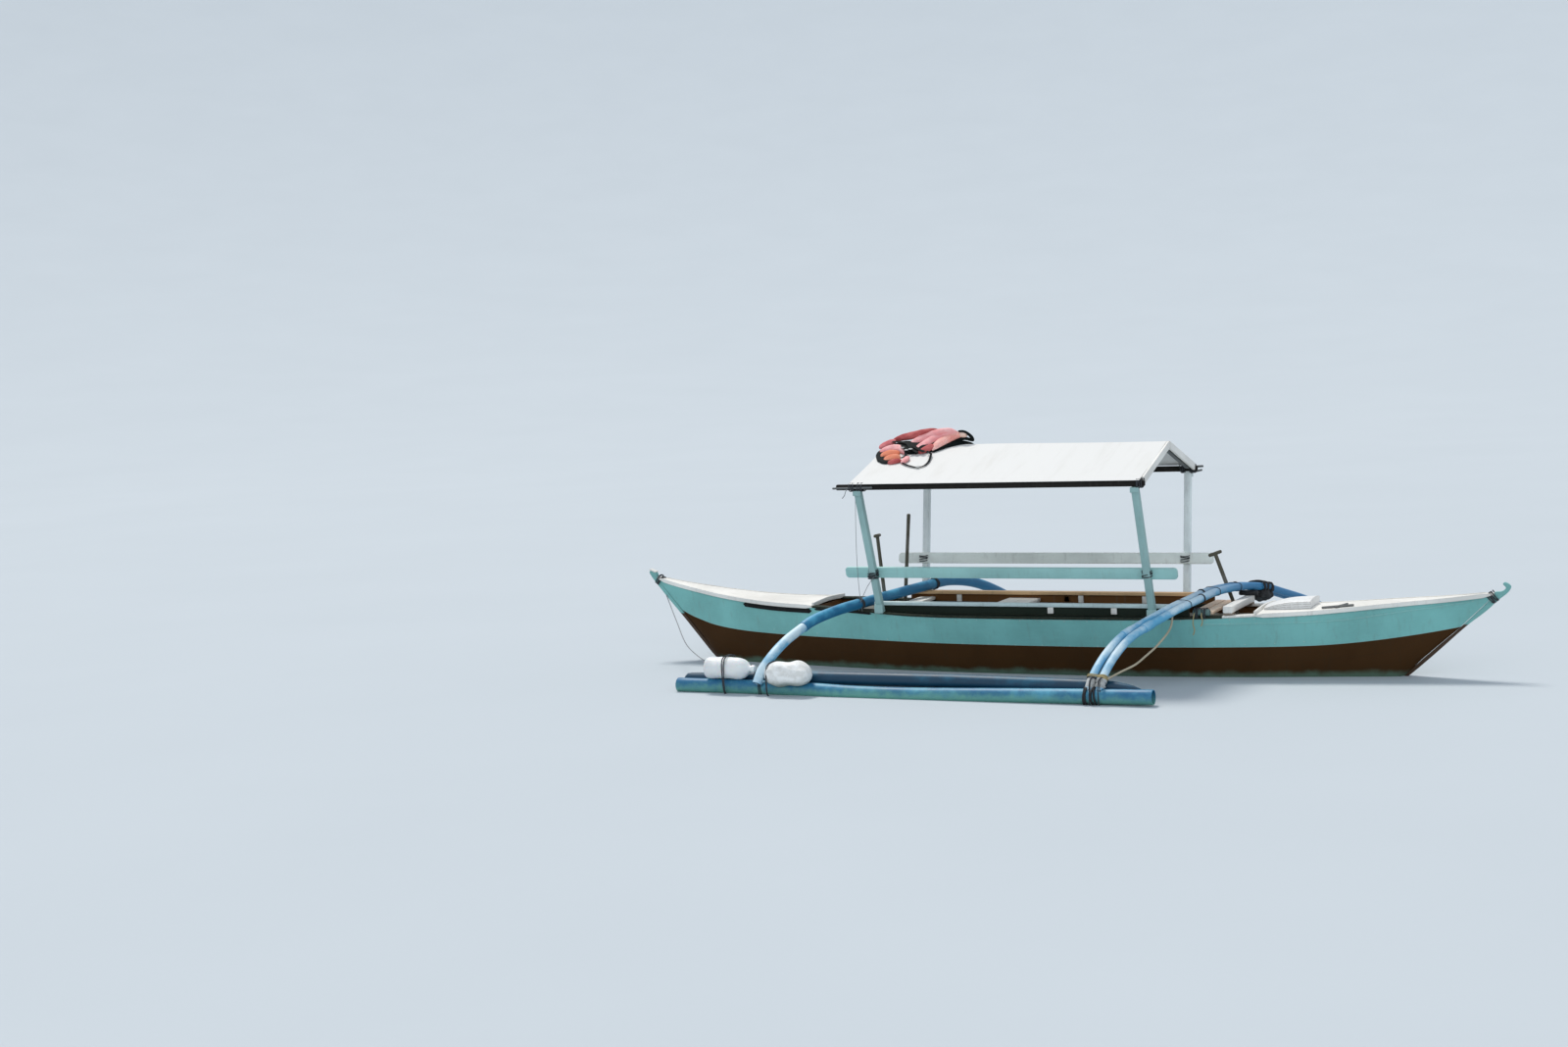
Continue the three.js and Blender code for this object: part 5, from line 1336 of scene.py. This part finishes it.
SACK = [[0, 0.010], [0.01, 0.030], [0.03, 0.046], [0.09, 0.067], [0.20, 0.083], [0.34, 0.090], [0.46, 0.086],
        [0.54, 0.085], [0.66, 0.091], [0.78, 0.087], [0.88, 0.073], [0.95, 0.048], [0.985, 0.024], [1, 0.008]]
DENTS = [(0.035, 3, 14, 0.2), (0.022, 5, -26, 1.3), (0.02, 2, 40, 0.7), (0.012, 9, 22, 2.1), (0.008, 13, -35, 0.5)]
sack_line = through([[-1.500, -1.552, 0.150], [-1.410, -1.535, 0.154], [-1.280, -1.525, 0.155],
                     [-1.142, -1.510, 0.156]])
sack = lumpy(sack_line, SACK, DENTS, 72, 110)
for y, z, r in ((-1.490, 0.041, 0.0535), (-1.3913, 0.102, 0.0515)):
    sack = clear_of(sack, y, z, r)
sack_piece = piece("stuffed_sack", [sack], sack_cloth(), ["lashed_bag"], 80)
print("sack is", round(float(reach_of(sack_line)[-1]), 3), "m long")

# %% [markdown]
# ## The life jacket
# An old foam vest lies over the ridge. Long puffed panels of faded red and pink cloth curve along it, a lobe of
# shorter ones hangs down the near slope, and the black lining shows between and under them. One cushion would look
# like a pillow. Here each panel is its own pad: a middle line on its crown, as x, y and height over the roof, with a
# half width and a thickness, and a section that is domed above and flatter below.

# %% Jacket cloth
def vest_cloth(name, colour, faded):
    """Nylon: fine weave, bleached crowns, and creases that gather at the seams."""
    material, tree, shader, spot, uv = bench(name, 0.78, Sheen_Weight=0.04, Specular_IOR_Level=0.25)
    weave = put(tree, "TexBrick", {"offset": 0.5}, out=1, Vector=spot, Scale=420.0, Mortar_Size=0.06)
    crease = noise(tree, spot, 1.0, 5.0, 0.6, (34, 60, 60))
    bleach = noise(tree, spot, 9.0, 5.0)
    mixed = tint(tree, between(tree, bleach, 0.35, 0.70), colour, faded)
    mixed = tint(tree, between(tree, crease, 0.55, 0.75, 0.3), mixed, shade(colour, 0.6))
    finish(tree, shader, mixed, None, sums(tree, "ADD", crease, times(tree, weave, 0.08)), 0.003, 0.6)
    return material


VEST = {"pink": vest_cloth("vest_pink", (0.88, 0.33, 0.33), (0.97, 0.56, 0.54)),
        "red": vest_cloth("vest_red", (0.45, 0.075, 0.075), (0.62, 0.16, 0.15)),
        "rose": vest_cloth("vest_rose", (0.90, 0.36, 0.30), (0.98, 0.62, 0.55)),
        "rosered": vest_cloth("vest_rose_red", (0.58, 0.12, 0.13), (0.74, 0.26, 0.26)),
        "orange": vest_cloth("vest_orange", (0.78, 0.20, 0.10), (0.90, 0.38, 0.24)),
        "cream": vest_cloth("vest_cream", (0.86, 0.52, 0.40), (0.92, 0.70, 0.60)),
        "black": vest_cloth("webbing_black", (0.003, 0.005, 0.005), (0.008, 0.012, 0.012))}
VEST["black"].node_tree.nodes["Principled BSDF"].inputs["Specular IOR Level"].default_value = 0.08
WEBBING = VEST["black"]


def roof_top(x, y):
    """Height of the roof cloth's upper face, which carries the vest."""
    return roof_low(y) + 0.0105 + hump(x, y)


# %% Lining and panels
def lobe(middle, widths, height, n=80, m=49):
    """Low wide pad on the roof: plan = middle(u) + v * width(u) * normal, top = roof + height * dome, where
    dome = (1 - |v|^2.6)^0.55 * (1 - |2u - 1|^7)^0.5."""
    line = through(np.column_stack([np.asarray(middle, float), np.zeros(len(middle))]), n)[:, :2]
    u = np.linspace(0, 1, n)[:, None]
    v = np.linspace(-1, 1, m)
    blunt = np.sqrt(np.clip(1 - np.abs(2 * u - 1) ** 9, 0.02, 1))
    w = np.interp(u[:, 0], np.linspace(0, 1, len(widths)), widths)[:, None] * blunt
    t = np.gradient(line, axis=0)
    t /= np.linalg.norm(t, axis=1)[:, None]
    plan = line[:, None] + (v * w)[..., None] * np.stack([-t[:, 1], t[:, 0]], 1)[:, None]
    dome = (1 - np.abs(v) ** 2.6) ** 0.55 * np.sqrt(np.clip(1 - np.abs(2 * u - 1) ** 7, 0.01, 1))
    crumple = 1 + 0.07 * np.sin(31 * plan[..., 0] + 9 * v) + 0.05 * np.sin(57 * plan[..., 1] + 23 * plan[..., 0])
    base = roof_top(plan[..., 0], plan[..., 1])
    upper = np.concatenate([plan, (base + 0.004 + np.maximum(height * dome * crumple, 0.001))[..., None]], 2)
    lower = np.concatenate([plan, (base + 0.0012)[..., None]], 2)
    return np.concatenate([upper, lower[:, ::-1]], 1)


def panel(points, halves, thick, pleat=0.0, lean=(0, -0.72, 0.69), n=64, sides=30):
    """Puffed channel under its crown points, in millimetres, heights over the roof: the line is the points less 0.8 of
    the thickness along lean. The section is a soft rectangle, domed above and 0.45 as thick below, both ends shut by
    (1 - |2u - 1|^6)^0.5, and pleat swells it by a sine every 15 mm."""
    p = np.array(points, float) * MM
    lean = np.array(lean) / np.linalg.norm(lean)
    p[:, 2] += roof_top(p[:, 0], p[:, 1])
    line = through(p - 0.8 * thick * MM * lean, n)
    s = reach_of(line)
    u = s / s[-1]
    shut = np.sqrt(np.clip(1 - np.abs(2 * u - 1) ** 6, 0.02, 1))
    half = np.interp(u, np.linspace(0, 1, len(halves)), halves) * MM * shut
    a = np.linspace(0, 2 * np.pi, sides, endpoint=False)
    wide = np.sign(np.cos(a)) * np.abs(np.cos(a)) ** 0.8
    out = np.where(np.sin(a) > 0, 1.0, 0.45) * np.sign(np.sin(a)) * np.abs(np.sin(a)) ** 0.8
    puff = 1 + pleat * np.sin(2 * np.pi * s / 0.015)[:, None] * (0.4 + 0.6 * (wide < 0))
    crumple = 1 + 0.04 * np.sin(47 * s[:, None] + 3 * a) + 0.03 * np.sin(83 * s[:, None] - 2 * a + thick)
    section = np.stack([half[:, None] * wide, (thick * MM * shut)[:, None] * out * puff * crumple], 2)
    return carry(line, section, None, lean)


# %% Sew the vest
PANELS = [
    ("red", 26, 0.0, [12, 26, 34, 30, 22, 12],
     [[-1100, 20, 62], [-1034, 20, 79], [-951, 20, 92], [-861, 20, 110], [-783, 18, 124], [-715, 15, 131]]),
    ("red", 24, 0.0, [12, 24, 28, 24, 12],
     [[-1070, 105, 40], [-960, 115, 62], [-850, 110, 76], [-740, 100, 78], [-640, 90, 70]]),
    ("pink", 28, 0.0, [24, 36, 38, 36, 30, 24, 16],
     [[-937, -72, 16], [-892, -26, 44], [-832, 0, 66], [-756, 0, 91], [-680, 0, 109], [-618, 0, 113], [-551, 0, 102]]),
    ("pink", 26, 0.0, [20, 34, 38, 38, 32, 26, 18],
     [[-872, -152, 14], [-826, -106, 32], [-779, -56, 48], [-732, -24, 66], [-663, 0, 82], [-595, 0, 92],
      [-552, 0, 90]]),
    ("rose", 24, 0.16, [30, 42, 42, 34, 24],
     [[-700, -150, 24], [-672, -80, 46], [-623, -26, 63], [-555, 0, 77], [-500, 0, 79]]),
    ("cream", 21, 0.0, [18, 24, 18], [[-535, -2, 78], [-506, -2, 79], [-474, -2, 70]]),
    ("red", 20, 0.0, [14, 32, 32], [[-812, -172, 16], [-750, -142, 34], [-700, -108, 44]]),
    ("black", 11, 0.0, [12, 13, 13, 14, 16],
     [[-700, -162, 12], [-640, -96, 19], [-580, -20, 28], [-492, -4, 46], [-418, 0, 24]]),
    ("black", 12, 0.0, [8, 10, 12, 14], [[-548, 4, 104], [-490, 0, 95], [-443, 0, 61], [-420, 0, 26]]),
    ("rosered", 18, 0.0, [22, 32, 32, 18], [[-1180, -60, 18], [-1150, -32, 27], [-1112, -4, 36], [-1058, 0, 50]]),
    ("pink", 20, 0.0, [26, 36, 36, 28, 18],
     [[-1140, -150, 20], [-1082, -127, 32], [-1033, -112, 36], [-968, -128, 32], [-905, -180, 14]]),
    ("orange", 20, 0.0, [28, 40, 30], [[-1096, -236, 22], [-1030, -214, 32], [-945, -210, 28]]),
    ("orange", 19, 0.06, [28, 38, 26], [[-1040, -305, 18], [-980, -286, 28], [-918, -264, 24]]),
    ("red", 15, 0.0, [16, 24, 16], [[-988, -350, 12], [-940, -338, 20], [-890, -314, 18]]),
    ("pink", 16, 0.0, [16, 26, 20], [[-872, -360, 10], [-856, -316, 22], [-858, -258, 20]])]
LINING = [lobe([[-1.080, 0.015], [-0.950, -0.005], [-0.840, -0.025], [-0.720, -0.015], [-0.610, 0.030],
                [-0.530, 0.055], [-0.440, 0.070]], [0.070, 0.120, 0.150, 0.132, 0.092, 0.076, 0.045], 0.034),
          lobe([[-1.120, -0.060], [-1.072, -0.170], [-1.018, -0.255], [-0.962, -0.330]],
               [0.060, 0.078, 0.084, 0.056], 0.012)]
lining = piece("vest_lining", LINING, WEBBING, ["life_jacket"], 80)
for shade_name in ("pink", "red", "rose", "rosered", "orange", "cream", "black"):
    stacks = [panel(points, halves, thick, pleat) for colour, thick, pleat, halves, points in PANELS
              if colour == shade_name]
    piece("vest_panels_" + shade_name, stacks, VEST[shade_name], (), 80)


# %% Straps and buckles
def webbing(points, wide=0.025, thick=0.002):
    """Flat strap along a smooth line of (x, y, height over the roof); it lies flat on the slope."""
    p = np.array(points, float) * MM
    p[:, 2] += roof_top(p[:, 0], p[:, 1])
    return carry(through(p, 60), plank(wide, thick, 0.0009, 2), up=(0, -ROOF_FALL, 1))


STRAPS = (([[-730, -180, 24], [-686, -214, 16], [-669, -268, 9], [-656, -344, 4], [-667, -412, 3], [-706, -436, 3],
            [-776, -410, 4], [-842, -368, 5], [-886, -330, 10]], 0.018),
          ([[-1078, -30, 46], [-1021, -30, 46], [-942, -60, 44], [-870, -110, 38], [-800, -160, 30],
            [-749, -190, 22]], 0.030),
          ([[-1000, -80, 44], [-940, -130, 40], [-900, -190, 22], [-886, -240, 14], [-900, -290, 18]], 0.022),
          ([[-960, -30, 46], [-920, -90, 44], [-870, -150, 34], [-800, -195, 20]], 0.025))
piece("vest_straps", [webbing(points, wide) for points, wide in STRAPS], WEBBING)
buckles = []
for x, y, over in ((-0.943, -0.150, 0.044), (-0.901, -0.176, 0.036), (-0.868, -0.170, 0.040), (-0.702, -0.436, 0.007)):
    z = roof_top(x, y) + over
    buckles.append(board([x, y - 0.014, z], [x, y + 0.014, z], 0.024, 0.010, ease=0.003))
piece("vest_buckles", buckles, RAG)

# %% [markdown]
# ## Nails, and the solids that stay
# Rows of nails hold the side planks, one under the sheer and one along the chine. They could be copies of one object;
# here the grid of one low dome is moved to every place by adding arrays, so that all of them are one light piece. The
# frames inside the hull have no piece of their own. Those solids stay, and only get a finish.

# %% Nails
def domes(points, outward, radius=0.0045, high=0.0016):
    """Nail heads: a low eight sided dome at each point; the grid of one dome is copied by adding arrays."""
    points, n = np.asarray(points, float), np.asarray(outward, float)
    n = n / np.linalg.norm(n, axis=1)[:, None]
    side = np.cross(n, np.where(np.abs(n[:, :1]) > 0.9, [[0, 1, 0]], [[1, 0, 0]]))
    side /= np.linalg.norm(side, axis=1)[:, None]
    other = np.cross(n, side)
    ring = disc(1.0, 8)
    levels = ((1.0, -0.5), (1.0, 0.25), (0.62, 0.85), (0.2, 1.0))
    spoke = ring[None, :, :1] * side[:, None] + ring[None, :, 1:] * other[:, None]
    stack = [points[:, None] + radius * r * spoke + high * h * n[:, None] for r, h in levels]
    return list(np.stack(stack, 1))


heads, away = [], []
for side, _ in SIDES:
    for drop, x in ((0.012, np.arange(-3.0, 3.2, 0.17)), (0.205, np.arange(-2.1, 2.2, 0.21))):
        heads.append(side_point(x, np.full(len(x), drop), side, 0.0003))
        away.append(np.tile([0, side, 0.25], (len(x), 1)))
piece("nail_heads", domes(np.concatenate(heads), np.concatenate(away)), TEAL_BOARD, crease=60)

# %% Finish the solids that stay
for name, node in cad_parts.items():
    if not node.hide_render:
        if not node.material_slots:
            node.data.materials.append(CREAM)
        for place in node.material_slots:
            place.material = CREAM
        print("solid that stays:", name)
